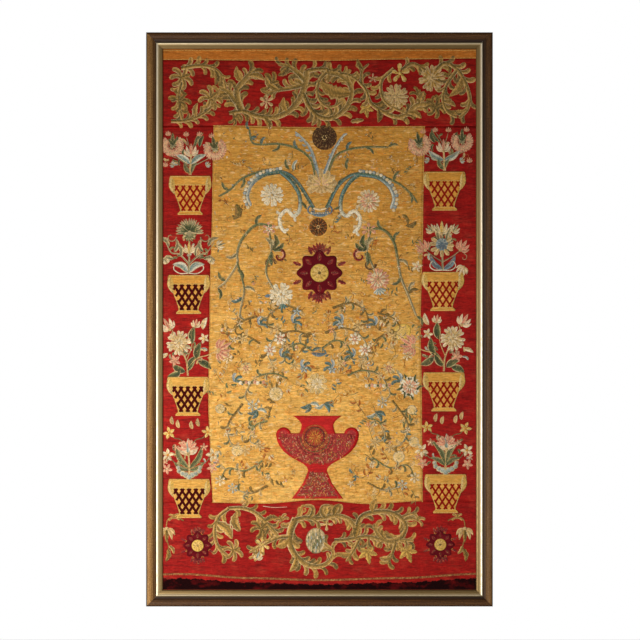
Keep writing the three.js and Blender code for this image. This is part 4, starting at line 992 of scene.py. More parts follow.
    def make(self, name, material):
        """One piece of all patches, with its threads' colours and stitch lines on the mesh."""
        piece = mesh_object(name, np.concatenate(self.points), np.concatenate(self.quads), [material])
        mesh = piece.data
        colours = np.concatenate(self.colours)
        attribute = mesh.attributes.new("thread", "FLOAT_COLOR", "POINT")
        shown = np.concatenate([np.clip(colours, 0, 1), np.ones((len(colours), 1))], 1)
        attribute.data.foreach_set("color", shown.astype(np.float32).ravel())
        corner = np.empty(len(mesh.loops), np.int32)
        mesh.loops.foreach_get("vertex_index", corner)
        layer = mesh.uv_layers.new(name="stitch")
        layer.data.foreach_set("uv", np.concatenate(self.stitches)[corner].astype(np.float32).ravel())
        joined = bmesh.new()
        joined.from_mesh(mesh)
        bmesh.ops.remove_doubles(joined, verts=joined.verts, dist=1e-6)
        bmesh.ops.dissolve_degenerate(joined, edges=joined.edges, dist=1e-6)
        joined.to_mesh(mesh)
        joined.free()
        return piece


SCROLL_BREADTH = 1.5
SCROLL_LOOKS = ("acanthus", "acanthus_dark", "vine_gold", "acanthus_cool")


def branches(work, strokes, leaves):
    """Scrolls of a table (root, tip, points) and the leaves (stem, share, lean, length, width) on them."""
    for root, tip, points in strokes:
        work.acanthus(points, root * SCROLL_BREADTH, tip * SCROLL_BREADTH, SCROLL_LOOKS)
    for k, (stroke, share, lean, length, width) in enumerate(leaves):
        line, heading, _ = smooth_line(strokes[stroke][2], 6)
        at = int(round(share * (len(line) - 1)))
        angle = bearing(heading[at]) + lean
        work.leaf(*line[at], angle, length * 1.1, width * 1.3, SCROLL_LOOKS[k % 3], 0.14, 5, 2.2)


# Scroll of the top border: root and tip half-widths, then the points of each branch
TOP_STROKES = [
    (5.2, 3.2, [(-594, 794), (-538, 796), (-482, 814), (-434, 850), (-398, 924)]),
    (6, 4, [(-554, 1006), (-478, 1016), (-426, 1006), (-390, 974), (-374, 920)]),
    (12, 5.6, [(-314, 838), (-330, 886), (-326, 926), (-294, 966), (-258, 1010)]),
    (10.4, 4.8, [(-314, 838), (-342, 882), (-370, 914), (-402, 930)]),
    (5.6, 10.4, [(-362, 826), (-306, 834), (-246, 814), (-178, 810), (-118, 838), (-78, 886), (-58, 942),
                 (-50, 998)]),
    (7.2, 4, [(-62, 940), (-118, 926), (-170, 918), (-218, 902)]),
    (8.8, 4, [(-58, 958), (-90, 990), (-126, 1014), (-166, 1022)]),
    (7.2, 7.2, [(-68, 910), (-42, 854), (-6, 814), (46, 806), (98, 838), (126, 890), (122, 942), (82, 978),
                (26, 990)]),
    (6.4, 3.6, [(-50, 994), (-10, 1002), (34, 998), (2, 962), (-10, 910), (10, 866), (50, 850), (94, 874)]),
    (4.4, 4.4, [(72, 980), (106, 982), (154, 958)]),
    (4.4, 8, [(154, 958), (186, 918), (206, 866), (258, 830), (314, 810), (354, 826), (390, 858),
              (442, 862)]),
    (5.6, 3.6, [(298, 1004), (250, 958), (250, 898), (278, 858), (346, 826)]),
    (5.2, 3.2, [(170, 940), (170, 994), (198, 1024)]),
    (6, 4, [(328, 998), (374, 1024), (424, 998)]),
    (6.4, 4.8, [(466, 1000), (506, 1026), (554, 998), (586, 942), (602, 886), (590, 838), (558, 806)]),
    (5.6, 3.6, [(550, 998), (510, 942), (494, 886), (510, 834), (552, 808)]),
    (5, 4, [(-554, 950), (-566, 880), (-548, 796)]),
]
TOP_LEAVES = [
    (0, 0.4, 62, 48, 18), (1, 0.6, -58, 52, 20), (2, 0.6, 62, 56, 22), (2, 0.8, -66, 56, 22),
    (4, 0.33, -58, 44, 20), (4, 0.55, 70, 50, 20), (5, 0.67, -56, 60, 24), (6, 0.67, 64, 46, 20),
    (7, 0.67, 74, 112, 46), (7, 0.22, -64, 40, 18), (10, 0.38, -60, 44, 20), (10, 0.75, -62, 46, 22),
    (10, 0.88, 58, 46, 20), (12, 0.67, 64, 38, 16), (14, 0.43, -62, 76, 26), (15, 0.6, 60, 44, 18),
]
scroll_top = Needlework(1.12)
branches(scroll_top, TOP_STROKES, TOP_LEAVES)
scroll_top.foliage(-554, 968, 44, "acanthus", 6)
scroll_top.foliage(-562, 872, 40, "acanthus_dark", 5, 50)
scroll_top.foliage(-440, 884, 44, "acanthus", 6, 40)
scroll_top.foliage(-342, 806, 28, "acanthus_dark", 5, 10)
scroll_top.rosette(-212, 872, 27, "straw", "rose", 6)
scroll_top.foliage(-196, 944, 40, "acanthus_dark", 5, 15)
scroll_top.peony(306, 892, 46, "straw", "straw")
scroll_top.rosette(322, 986, 36, "yellow", "grape", 5)
scroll_top.peony(450, 966, 48, "straw", "acanthus")
scroll_top.foliage(462, 850, 40, "acanthus_dark", 6, 30)
scroll_top.foliage(392, 900, 28, "acanthus_dark", 5, 60)
scroll_top.rosette(214, 966, 18, "rose", "straw", 5)
scroll_top.vine_leaf(186, 846, 34, -80)
scroll_top.leaf(124, 792, 8, 50, 20, "acanthus", 0, 3)

# Scroll of the bottom border, with the bracket under the urn
BOTTOM_STROKES = [
    (5.2, 5.2, [(-362, -756), (-406, -794), (-420, -850), (-406, -910), (-366, -950)]),
    (5.2, 6.4, [(-362, -756), (-306, -756), (-258, -774), (-214, -814), (-166, -868)]),
    (6.4, 3.6, [(-118, -870), (-166, -874), (-226, -902), (-282, -934)]),
    (11.2, 4.8, [(-94, -798), (-114, -842), (-118, -894), (-98, -942), (-58, -978), (-6, -990), (38, -970),
                 (54, -930), (14, -894)]),
    (7.2, 6.4, [(-110, -806), (-54, -794), (-6, -798), (62, -786), (114, -798), (142, -830), (166, -830)]),
    (8, 5.6, [(150, -830), (170, -790), (218, -772), (278, -772), (326, -794), (346, -832), (326, -870),
              (274, -886), (234, -862), (218, -818)]),
    (6.4, 4.4, [(60, -886), (114, -882), (186, -870), (236, -880), (286, -894), (326, -884), (378, -886)]),
    (5.6, 3.2, [(162, -874), (138, -922), (106, -970)]),
    (5.6, 3.2, [(306, -888), (290, -940), (270, -980)]),
    (4.8, 3.2, [(326, -794), (362, -780), (390, -776)]),
    (4, 3.2, [(198, -872), (192, -920)]),
    (4, 3.2, [(344, -884), (350, -920)]),
]
BOTTOM_LEAVES = [
    (0, 0.33, 62, 76, 34), (1, 0.67, 60, 46, 20), (3, 0.2, -60, 52, 22), (3, 0.4, -64, 54, 22),
    (4, 0.57, 58, 44, 20), (5, 0.2, 62, 46, 20), (5, 0.5, 56, 44, 18), (6, 0.25, 58, 56, 24),
    (7, 0.67, -62, 38, 18), (8, 0.67, -62, 36, 18),
]
scroll_bottom = Needlework(1.12)
branches(scroll_bottom, BOTTOM_STROKES, BOTTOM_LEAVES)
# Bracket under the urn: two plain horns that end in volutes
for hand, horn in ((1, [(-42, -798), (-26, -774), (-30, -750), (-62, -746)]),
                   (-1, [(26, -794), (10, -774), (14, -750), (46, -746)])):
    scroll_bottom.stem(horn, 11, 7, "vine", 2.2)
    scroll_bottom.curl(horn[-1][0], horn[-1][1] - 15, 15, 90, 1.1, 6, "vine_gold", hand)
scroll_bottom.foliage(-348, -926, 38, "acanthus", 6)
scroll_bottom.foliage(-236, -838, 40, "acanthus_dark", 6, 40)
scroll_bottom.foliage(-262, -938, 26, "acanthus", 5)
scroll_bottom.rosette(-228, -902, 28, "yellow", "straw", 6)
scroll_bottom.leaf(-318, -848, 100, 70, 40, "acanthus", 0.2, 5)
scroll_bottom.tulip(-252, -960, 26, 70, "cream", "teal_pale")
scroll_bottom.cone(-14, -886, 38, 1.25)
scroll_bottom.rosette(28, -820, 24, "straw", "yellow", 4)
scroll_bottom.vine_leaf(192, -930, 44, -80)
scroll_bottom.vine_leaf(350, -926, 44, -70)
# A thread that has come loose
scroll_bottom.fine_thread([(-226, -748), (-180, -753), (-130, -751)], 1.6, "white", 2.2)
for x, z, start in ((-150, -806, 120), (392, -806, 60)):
    scroll_bottom.foliage(x, z, 26, "acanthus", 4, start)
# Hanging sprays outside the corner medallions: side, x
for side, x in ((-1, -606), (1, 576)):
    bough = [(x - side * 62, -806), (x - side * 30, -792), (x, -800), (x + side * 8, -832)]
    scroll_bottom.stem(bough, 3, 2.2, "vine")
    scroll_bottom.foliage(x - side * 24, -796, 20, "acanthus", 4, 90)
    scroll_bottom.tulip(x + side * 6, -838, 40, -90, "straw", "acanthus_dark")
    scroll_bottom.stem([(x + side * 4, -880), (x - side * 2, -915), (x + side * 6, -950)], 2.4, 1.8, "vine")
    scroll_bottom.leaf(x, -918, -80 if side > 0 else -100, 46, 20, "acanthus_dark", 0.14, 3)
    scroll_bottom.leaf(x - side * 4, -906, -120 if side > 0 else -60, 34, 15, "acanthus", 0.14, 3)

BASKET_WIDTH, BASKET_HEIGHT = 166, 156
# Form of a basket: share of its height and share of its half-width there
BASKET_SECTIONS = [
    (0, 0.6), (0.06, 0.58), (0.1, 0.44), (0.3, 0.55), (0.5, 0.7), (0.74, 0.88), (0.88, 1), (1, 0.95),
]
# Each basket: side, row, x, z, dark lattice
BASKETS = [
    ("left", 1, -518, 497, False), ("left", 2, -524, 100, True), ("left", 3, -527, -308, True),
    ("left", 4, -522, -717, True), ("right", 1, 501, 514, False), ("right", 2, 494, 112, False),
    ("right", 3, 498, -290, False), ("right", 4, 505, -698, False),
]
# Lattice: shares of the basket's height and half-width, then sizes
LATTICE_LOW, LATTICE_HIGH, LATTICE_SLOPE, LATTICE_REACH = 0.1, 0.75, 0.66, 0.95
LATTICE_PITCH, LATTICE_STRIPS = 27, 7
LATTICE_HALF, DARK_LATTICE_HALF = 4.6, 6.2


def basket_half(share):
    """Half-width at a share of the basket's height."""
    heights, halves = zip(*BASKET_SECTIONS)
    return BASKET_WIDTH / 2 * np.interp(share, heights, halves)


def basket_point(x, z, share, side):
    """Place on a basket: side goes from -1 at its left edge to 1 at its right."""
    return x + side * basket_half(share), z + (share - 0.5) * BASKET_HEIGHT


def basket_cloth(place, x, z):
    """Silk cut out to the basket's form."""
    def at(u, v):
        return basket_point(x, z, v, 2 * u - 1)
    return cloth_sheet(f"basket_{place}_cloth", at, 14, 40, 0.45, 1.6, (basket_silk,))


def basket_lattice(place, x, z, dark):
    """Velvet strips that cross over the basket's body."""
    work = Needlework(base=ON_APPLIQUE)
    half = DARK_LATTICE_HALF if dark else LATTICE_HALF
    shares = np.linspace(LATTICE_LOW, LATTICE_HIGH, 60)
    up = (shares - (LATTICE_LOW + LATTICE_HIGH) / 2) * BASKET_HEIGHT
    for hand in (1, -1):
        for place_across in (np.arange(LATTICE_STRIPS) - (LATTICE_STRIPS - 1) / 2) * LATTICE_PITCH:
            across = place_across + hand * LATTICE_SLOPE * up
            inside = np.flatnonzero(np.abs(across) < LATTICE_REACH * basket_half(shares))
            if len(inside) < 6:
                continue
            ends = inside[[0, -1]]
            px, pz = x + across[ends], z + (shares[ends] - 0.5) * BASKET_HEIGHT
            line, heading, run = smooth_line(np.stack([px, pz], -1), 6)
            uneven = half + 0.5 * np.sin(run * 0.3 + place_across)
            work.strip(line, heading, run, uneven, LOOKS["maroon"], 1.4 + 0.15 * hand, True)
    return work.make(f"lattice_{place}_strips", lattice_black if dark else lattice_maroon)


def basket_edging(place, x, z):
    """Laid cord round the basket, its rim band and the two almond ears."""
    work = Needlework(base=ON_APPLIQUE)
    for side in (-1, 1):
        top = np.array(basket_point(x, z, 0.97, side * 0.9))
        foot = np.array(basket_point(x, z, 0.53, side * 1.04))
        reach = foot - top
        work.leaf(*top, bearing(reach), float(np.hypot(*reach)), 25, "yellow", 0.08 * side, rise=1.2)
        edge = [basket_point(x, z, s, side) for s in np.linspace(0.02, 0.98, 14)]
        work.fine_thread(edge, 2.2, "yellow", 1.2)
    for share, half in ((0.985, 2.2), (0.77, 1.6), (0.09, 1.8), (0.015, 2.2)):
        rim = [basket_point(x, z, share, s) for s in np.linspace(-1, 1, 7)]
        work.fine_thread(rim, half, "yellow", 1.1)
    return work.make(f"basket_{place}_edging", silk_thread)


# Bouquets: p places a point from the middle of the basket's rim, and a turns an angle. The right
# border's are mirrored.
def bouquet_one(work, p, a):
    """Two hanging carnations beside a tulip, with small cups on thin stems."""
    work.stem([p(0, 0), p(2, 50), p(4, 92)], 6, 2.6, "straw")
    work.stem([p(2, 30), p(-40, 60), p(-84, 84), p(-64, 120)], 2.4, 1.8, "sage")
    work.stem([p(2, 30), p(46, 52), p(78, 70), p(98, 104)], 2.4, 1.8, "sage")
    work.stem([p(4, 92), p(-8, 128), p(-14, 150)], 2.2, 1.6, "sage")
    work.stem([p(4, 92), p(18, 128), p(34, 150)], 2.2, 1.6, "sage")
    for lean in (32, 148):
        work.leaf(*p(2, 42), a(lean), 62, 21, "teal_pale", 0.1 if lean < 90 else -0.1)
    for lean in (62, 118):
        work.leaf(*p(2, 4), a(lean), 44, 16, "leaf")
    work.carnation(*p(-70, 118), 37, -90)
    work.carnation(*p(100, 104), 38, -78)
    work.tulip(*p(4, 78), 32, 90)
    for x, z in ((-64, 38), (64, 38)):
        work.tulip(*p(x, z), 14, a(90 - x), "teal_pale", "sage")
    for x, z in ((-88, 158), (-16, 156), (38, 156), (-100, 34), (86, 150)):
        work.tulip(*p(x, z), 13, 90, "pink", "rose")
    work.leaf(*p(-36, 110), a(110), 40, 15, "dark_leaf")
    work.leaf(*p(38, 112), a(70), 40, 15, "dark_leaf")
    work.leaf(*p(18, 112), a(58), 56, 12, "leaf")
    work.curl(*p(-90, 60), 12, 200, 0.8, 1.4, "rust")


def bouquet_two_left(work, p, a):
    """Thistle over an open cup, with leafy side stems and a white ribbon."""
    work.stem([p(0, 0), p(2, 60), p(3, 120), p(4, 150)], 4.5, 3, "sage")
    work.stem([p(1, 40), p(-36, 78), p(-70, 86), p(-92, 130)], 4, 2, "sage")
    work.stem([p(1, 40), p(40, 74), p(74, 88), p(104, 128)], 4, 2, "sage")
    work.thistle(*p(4, 168), 44, 90)
    work.tulip(*p(2, 86), 28, 90, "cream", "yellow")
    for side in (-1, 1):
        work.leaf(*p(2 * side, 6), a(90 - 62 * side), 58, 24, "teal_pale", 0.2 * side)
        ribbon = ((0, 4), (34, 2), (60, 20), (50, 40), (24, 36), (8, 12))
        work.stem([p(x * side, z) for x, z in ribbon], 3, 2, "white")
        for x, z, lean, length in ((30, 70, 70, 46), (58, 88, 100, 44), (78, 110, 40, 46), (60, 60, -10, 40)):
            work.leaf(*p(x * side, z), a(90 - (90 - lean) * side), length, 18, "sage", 0.2 * side, 3)
        work.curl(*p(70 * side, 148), 22, 180 if side > 0 else 0, 0.9, 3.2, "sage", side)
        work.tulip(*p(86 * side, 44), 16, a(90 - 30 * side), "cream", "sage")
    work.tulip(*p(116, 112), 22, a(20), "cream", "sage")


def bouquet_two_right(work, p, a):
    """Cup over a blue and straw flower, with pink cups and a white ribbon."""
    work.stem([p(0, 0), p(2, 60), p(3, 120), p(4, 150)], 4, 3, "sage")
    work.tulip(*p(4, 150), 34, 90, "cream", "yellow")
    work.knot(*p(4, 106), 24, "blue_deep", 2.4)
    work.fan(*p(4, 104), 9, 10, 32, 17, "straw", 270, 250, 2.0)
    work.fan(*p(4, 108), 6, 4, 16, 10, "blue", 90, 200, 3.0)
    for side in (-1, 1):
        work.stem([p(1, 36), p(40 * side, 60), p(66 * side, 80)], 3, 2, "sage")
        work.tulip(*p(70 * side, 84), 32, a(90 - 34 * side), "pink", "pink")
        work.leaf(*p(14 * side, 120), a(90 - 24 * side), 56, 16, "sage", -0.1 * side)
        work.tulip(*p(40 * side, 158), 24, a(90 - 40 * side), "cream", "sage")
        ribbon = ((0, 4), (34, 4), (52, 20), (40, 40), (26, 24))
        work.stem([p(x * side, z) for x, z in ribbon], 3, 2, "white")
        work.leaf(*p(2 * side, 6), a(90 - 40 * side), 62, 18, "blue_deep", 0.14 * side)
        work.curl(*p(84 * side, 54), 16, 90, 0.8, 2, "sage", side)
    work.tulip(*p(-84, 16), 28, a(-60), "cream", "tulip")
    work.star(*p(104, 18), 20, "cream", "pink")


def bouquet_three(work, p, a):
    """Round pale flower to the left, pink cups to the right and dark leaves."""
    work.stem([p(0, 0), p(-6, 60), p(-34, 118)], 4, 2.6, "straw")
    work.stem([p(-2, 30), p(36, 70), p(82, 84), p(128, 108)], 3, 2.2, "straw")
    work.stem([p(-6, 60), p(16, 120), p(14, 170), p(30, 204)], 2.4, 2, "straw")
    work.stem([p(-34, 128), p(-66, 150), p(-60, 186)], 2.4, 2, "straw")
    work.peony(*p(-36, 131), 42, "cream", "straw")
    for x, z, lean, length in ((2, 20, 62, 56), (36, 62, 78, 62), (40, 58, -30, 52), (18, 128, 84, 58),
                               (-10, 16, 150, 50), (-30, 16, 200, 46)):
        work.leaf(*p(x, z), a(lean), length, 25, "dark_leaf", 0.1)
    work.tulip(*p(124, 104), 40, a(30), "pink", "rose")
    work.tulip(*p(122, 96), 34, a(-28), "rose", "pink")
    work.tulip(*p(30, 196), 22, 80, "cream", "pink")
    work.tulip(*p(-72, 186), 34, a(120), "tulip", "pink")
    work.star(*p(64, 150), 18, "cream", "yellow")
    work.star(*p(-52, 60), 20, "pink", "rose")
    work.leaf(*p(60, 186), a(70), 42, 18, "cream", 0.1)
    work.leaf(*p(-80, 90), a(200), 34, 14, "cream", 0.1)


def bouquet_four(work, p, a):
    """Open cup among small stars, with long leaves and a row of knots at its foot."""
    work.stem([p(0, 0), p(0, 60), p(-4, 110)], 5, 3, "straw")
    for points in (
            ((-3, 100), (-30, 150), (-60, 160), (-72, 178)), ((-3, 100), (24, 150), (54, 160), (70, 182)),
            ((0, 40), (-34, 62), (-56, 60), (-76, 84)), ((0, 40), (36, 60), (64, 62), (86, 88))):
        work.stem([p(x, z) for x, z in points], 2.4, 1.8, "leaf")
    for lean in (60, 120):
        work.leaf(*p(0, 36), a(lean), 92, 20, "leaf", 0.1 if lean > 90 else -0.1)
    for lean in (28, 152):
        work.leaf(*p(0, 30), a(lean), 58, 16, "leaf", 0.12 if lean > 90 else -0.12)
    work.tulip(*p(-4, 96), 42, 90, "tulip", "teal_pale")
    work.fan(*p(-4, 112), 7, 6, 30, 14, "pink", 90, 150, 2.6)
    for x, z, r in ((-80, 180, 21), (74, 184, 20), (96, 92, 24), (-86, 92, 22)):
        work.star(*p(x, z), r, "yellow" if z > 120 else "cream", "orange")
    for x, z, r in ((-88, 36, 18), (92, 40, 18), (-52, 122, 12), (60, 124, 14), (-98, 64, 12), (110, 66, 12)):
        work.star(*p(x, z), r, "pink", "cream")
    for x, z in ((-40, 200), (14, 196), (40, 206), (-64, 214)):
        work.leaf(*p(x, z), a(100), 28, 13, "straw", 0.1)
    for side in (-1, 1):
        for k, (x, z) in enumerate(((12, 12), (26, 18), (40, 28), (44, 42))):
            work.knot(*p(x * side, z), 11 - k, "teal_pale", 1.9)
    work.knot(*p(0, 4), 11, "teal_pale", 2.2)


BOUQUETS = {("left", 2): bouquet_two_left, ("right", 2): bouquet_two_right}
ROW_BOUQUETS = {1: bouquet_one, 3: bouquet_three, 4: bouquet_four}
FILLERS = 16
FILLER_LOOKS = ("sage", "leaf", "straw", "dark_leaf", "teal_pale")
BOUQUET_LIFT, BOUQUET_PLUMP = 4, 1.2
baskets = []
for side, row, x, z, dark in BASKETS:
    place = f"{side}_{row}"
    mirror = 1 if side == "left" else -1
    foot = z + BASKET_HEIGHT / 2 + BOUQUET_LIFT
    work = Needlework(BOUQUET_PLUMP)
    grow = BOUQUETS.get((side, row)) or ROW_BOUQUETS[row]
    for _ in range(FILLERS):
        turn = vary(0.1, 0.9) * math.pi
        reach = vary(40, 96)
        filler = x + reach * math.cos(turn), foot + 20 + reach * 1.3 * math.sin(turn)
        look = chosen(FILLER_LOOKS)
        lean = math.degrees(turn) + vary(-50, 50)
        work.lobe(*filler, lean, vary(16, 26), vary(7, 11), look, either_hand(), 1.2)
    grow(work, lambda px, pz: (x + mirror * px, foot + pz),
         lambda angle: angle if mirror > 0 else 180 - angle)
    baskets.append((place, side, basket_cloth(place, x, z), basket_lattice(place, x, z, dark),
                    basket_edging(place, x, z), work.make(f"bouquet_{place}_stitching", silk_thread)))

# Field stems: root and tip half-widths, look, look at the end, points
SPRAY_STROKES = [
    (5.6, 3.2, "teal", "leaf", [(-24, 446), (-86, 546), (-134, 586), (-210, 596), (-302, 568), (-362, 516),
                                (-404, 492)]),
    (5.6, 3.2, "teal", "leaf", [(28, 446), (74, 534), (134, 580), (214, 580), (298, 554), (360, 510),
                                (392, 466)]),
    (6, 5.4, "teal", "white", [(-158, 592), (-114, 554), (-80, 498), (-80, 438), (-104, 414), (-130, 438),
                               (-158, 410), (-154, 370), (-134, 346)]),
    (6, 5.4, "teal", "white", [(162, 582), (122, 550), (90, 494), (86, 438), (110, 414), (138, 434),
                               (162, 410), (158, 370), (134, 346)]),
    (6.8, 4.8, "teal", "blue", [(-154, 592), (-222, 578), (-270, 542), (-288, 494), (-274, 454)]),
    (6.8, 4.8, "teal", "blue", [(162, 582), (230, 570), (278, 534), (298, 486), (286, 442)]),
]
INNER_STEMS = [row[4] for row in SPRAY_STROKES[2:4]]
RING_STEMS = [row[4] for row in SPRAY_STROKES[4:6]]
FIELD_BREADTH = 1.35
RING_KNOT_GAP, RING_KNOT_RADIUS = 13, 8
RING_LOOKS = ("white", "blue", "cream")


def leaves(work, rows, length, width, bow):
    """Two-lobed leaves of one size: x, z, angle, look."""
    for x, z, angle, look in rows:
        work.leaf(x, z, angle, length, width, look, bow, 2)


spray_main = Needlework()
for root, tip, look, look_end, points in SPRAY_STROKES:
    root, tip = root * FIELD_BREADTH, tip * FIELD_BREADTH
    spray_main.stem(points, root, tip, look, 1.8, look_end)
    # A brown thread along the stem's shaded edge
    line, heading, run = smooth_line(points, 5)
    outward = np.stack([heading[:, 1], -heading[:, 0]], -1)
    shadow = line + outward * between(root, tip, run / run[-1])[:, None]
    spray_main.fine_thread(shadow[::4], 1.1, "brown", 1.4)
for points in RING_STEMS:
    line, heading, _ = smooth_line(points, RING_KNOT_GAP)
    reach = -np.sign(points[0][0]) * RING_KNOT_GAP
    for k, ((x, z), (hx, hz)) in enumerate(zip(line, heading)):
        spray_main.knot(x + reach * hz, z - reach * hx, RING_KNOT_RADIUS, RING_LOOKS[k % 3], 2.0)
# Pale curling leaves where the inner stems end
for points in INNER_STEMS:
    line, heading, _ = smooth_line(points, 22)
    for k, (at, way) in enumerate(zip(line[-9:-1], heading[-9:-1])):
        hand = 1 if k % 2 else -1
        look = ("cream", "white", "straw")[k % 3]
        spray_main.lobe(*at, bearing(way) + hand * 24, 30, 14, look, hand, 1.5)
leaves(spray_main, (
    (-86, 546, 150, "teal"), (-210, 596, 210, "teal"), (-302, 568, 250, "leaf"), (-362, 516, 130, "leaf"),
    (74, 534, 40, "teal"), (214, 580, -30, "teal"), (298, 554, 60, "leaf"), (360, 510, -80, "leaf"),
    (-104, 596, 70, "teal_pale"), (-120, 600, 110, "leaf"), (110, 600, 80, "leaf"), (-86, 470, -40, "leaf"),
    (92, 470, 220, "leaf")), 46, 17, 0.16)
# Collar where the stems part
for x, hand in ((-30, 1), (34, -1)):
    spray_main.curl(x, 436, 20, 90, 1.1, 4.2, "blue_deep", hand)
spray_main.stem([(-34, 432), (-14, 420), (18, 420), (38, 432)], 8, 8, "blue_deep", 1.9)
spray_main.stem([(-24, 446), (2, 440), (28, 446)], 4, 4, "cream", 2.4)
for k in range(9):
    spray_main.knot(-32 + 8 * k, 426 + 0.06 * (k - 4) ** 2, 4, RING_LOOKS[k % 3], 2.8)


def shaded_stems(work, strokes, look_end, shift, drop, half, rise):
    """Stems of a table (root, tip, look, points), each with a brown thread shifted to its side."""
    for root, tip, look, points in strokes:
        work.stem(points, root * FIELD_BREADTH, tip * FIELD_BREADTH, look, 1.7, look_end)
        work.fine_thread([(x + shift, z - drop) for x, z in points], half, "brown", rise)


palmette = Needlework()
shaded_stems(palmette, (
    (4.8, 3.2, "leaf", [(-14, 560), (-34, 638), (-86, 682), (-158, 702), (-234, 700), (-270, 710),
                        (-282, 762)]),
    (4.8, 3.2, "leaf", [(26, 560), (58, 646), (110, 678), (182, 690), (274, 690)]),
    (6.4, 2.8, "blue", [(0, 560), (-30, 670), (-62, 718), (-98, 752)]),
    (6.4, 2.8, "blue", [(12, 560), (50, 660), (84, 722), (110, 746)])), None, 5, 3, 1.1, 1.3)
# Shell of petals: count, inner reach, length, width, look, middle, sweep, rise
for row in ((9, 14, 50, 34, "straw", 90, 224, 1.6), (5, 6, 32, 26, "straw", -90, 120, 1.7),
            (8, 8, 40, 27, "ghost", 90, 200, 2.1), (6, 4, 28, 18, "pink_pale", 90, 180, 2.6)):
    palmette.fan(8, 540, *row)
palmette.leaf(8, 536, 90, 34, 18, "yellow", 0, rise=3.0)
for x, z, angle, length in (
        (-282, 760, 100, 36), (-278, 720, 20, 30), (274, 690, 10, 44), (182, 690, -40, 46),
        (110, 678, 60, 40), (-86, 682, 110, 40), (-158, 702, 220, 44), (-234, 700, 60, 36)):
    palmette.leaf(x, z, angle, length, 15, "leaf" if length > 40 else "teal", 0.18, 2)
for side in (-1, 1):
    for k in range(5):
        palmette.leaf(6 + side * (30 + 14 * k), 655 + 20 * k, 90 - side * 70, 20, 9, "blue", 0.1)

# Round flowers inside the rings
bloom_left = Needlework()
bloom_left.peony(-190, 498, 47, "white", "cream")
bloom_right = Needlework()
bloom_right.peony(196, 474, 47, "cream", "pink")


def parrot_tulip(work, x, z, side):
    """Curled dark flower with a maroon lip."""
    for lean, length, look in ((100, 62, "dark_leaf"), (60, 54, "sage"), (150, 54, "dark_leaf")):
        work.leaf(x, z, 90 - side * (90 - lean), length, 28, look, 0.22 * side, 3)
    work.curl(x - side * 28, z - 26, 28, 90, 0.9, 7, "maroon", side)
    work.curl(x + side * 10, z - 58, 26, 0, 0.9, 6.4, "brown", -side)
    work.curl(x - side * 34, z - 22, 15, 60, 0.8, 4, "pink", side)
    work.leaf(x, z - 8, -90, 58, 24, "leaf", 0.1 * side)


spray_left = Needlework()
shaded_stems(spray_left, (
    (5.2, 3.2, "leaf", [(-190, 374), (-254, 378), (-310, 322), (-330, 266), (-330, 222), (-374, 154),
                        (-408, 126)]),
    (4, 2.8, "leaf", [(-330, 230), (-302, 126), (-314, 54), (-322, 6)]),
    (4, 3.2, "leaf", [(-206, 366), (-194, 310), (-194, 270)]),
    (3.6, 3.2, "leaf", [(-194, 270), (-214, 190), (-182, 118)])), "sage", 5, 4, 1.0, 1.2)
leaves(spray_left, (
    (-330, 266, 200, "sage"), (-330, 200, -60, "leaf"), (-374, 154, 130, "leaf"),
    (-408, 126, -80, "dark_leaf"), (-302, 126, -20, "sage"), (-310, 90, 200, "teal"), (-254, 378, 60, "leaf"),
    (-322, 6, 240, "olive")), 48, 18, 0.2)
spray_left.rosette(-202, 363, 28, "pink", "white", 6)
parrot_tulip(spray_left, -190, 280, -1)
spray_left.peony(-154, 100, 48, "white", "cream")
spray_left.leaf(-196, 96, 190, 24, 14, "blue_deep", 0)
spray_left.fan(-150, 66, 4, 4, 26, 9, "teal", -80, 70, 2.2, False)

spray_right = Needlework()
shaded_stems(spray_right, (
    (5.2, 3.2, "leaf", [(190, 366), (258, 358), (298, 310), (314, 238), (326, 170), (354, 102), (388, 14)]),
    (4, 3.2, "leaf", [(206, 358), (194, 310), (190, 270)]),
    (3.6, 3.2, "leaf", [(190, 270), (210, 222), (226, 182)])), "sage", -5, 4, 1.0, 1.2)
leaves(spray_right, (
    (314, 238, -30, "sage"), (326, 170, 220, "leaf"), (354, 102, 20, "olive"), (388, 14, -60, "leaf"),
    (298, 310, 60, "leaf"), (258, 358, 120, "leaf"), (330, 420, -60, "olive"), (360, 110, 60, "sage")),
    48, 18, 0.2)
spray_right.rosette(198, 358, 30, "pink", "straw", 6)
parrot_tulip(spray_right, 190, 280, 1)
spray_right.peony(234, 160, 46, "pink", "cream")
spray_right.fan(238, 128, 5, 4, 28, 14, "teal_pale", -80, 110, 2.4)

# Small work over the field
sprigs = Needlework()
# Pale discs: x, z, radius
for x, z, radius in ((-398, -358, 20), (-174, -298, 29), (-330, -526, 23), (318, -550, 25),
                     (370, -362, 20), (378, -490, 22)):
    sprigs.knot(x, z, radius, "ghost", 1.4, spokes=18)
    sprigs.fan(x, z, 9, radius * 0.3, radius * 0.6, radius * 0.3, "cream", rise=1.6)
sprigs.rosette(-10, -258, 44, "ghost", "cream", 10)
sprigs.peony(362, -270, 42, "white", "rose")
for angle in (150, 200, 240, 320, 20, 70):
    sprigs.leaf(*polar(362, -270, 34, angle), angle + 80, 40, 14, "dark_leaf", 0.25)
for x, z in ((-270, -254), (234, -266)):
    for k in range(9):
        sprigs.knot(x - 46 + 11.5 * k, z + 1.4 * (k % 3), 7, ("white", "dark_leaf", "pink")[k % 3], 1.8, 1.2)
for x, z, side in ((-250, -362, -1), (226, -374, 1), (-38, -338, -1), (18, -338, 1)):
    for lean, look in ((-20, "teal"), (-60, "teal"), (200, "teal_pale")):
        sprigs.leaf(x, z, lean if side > 0 else 180 - lean, 42, 16, look, 0.2)
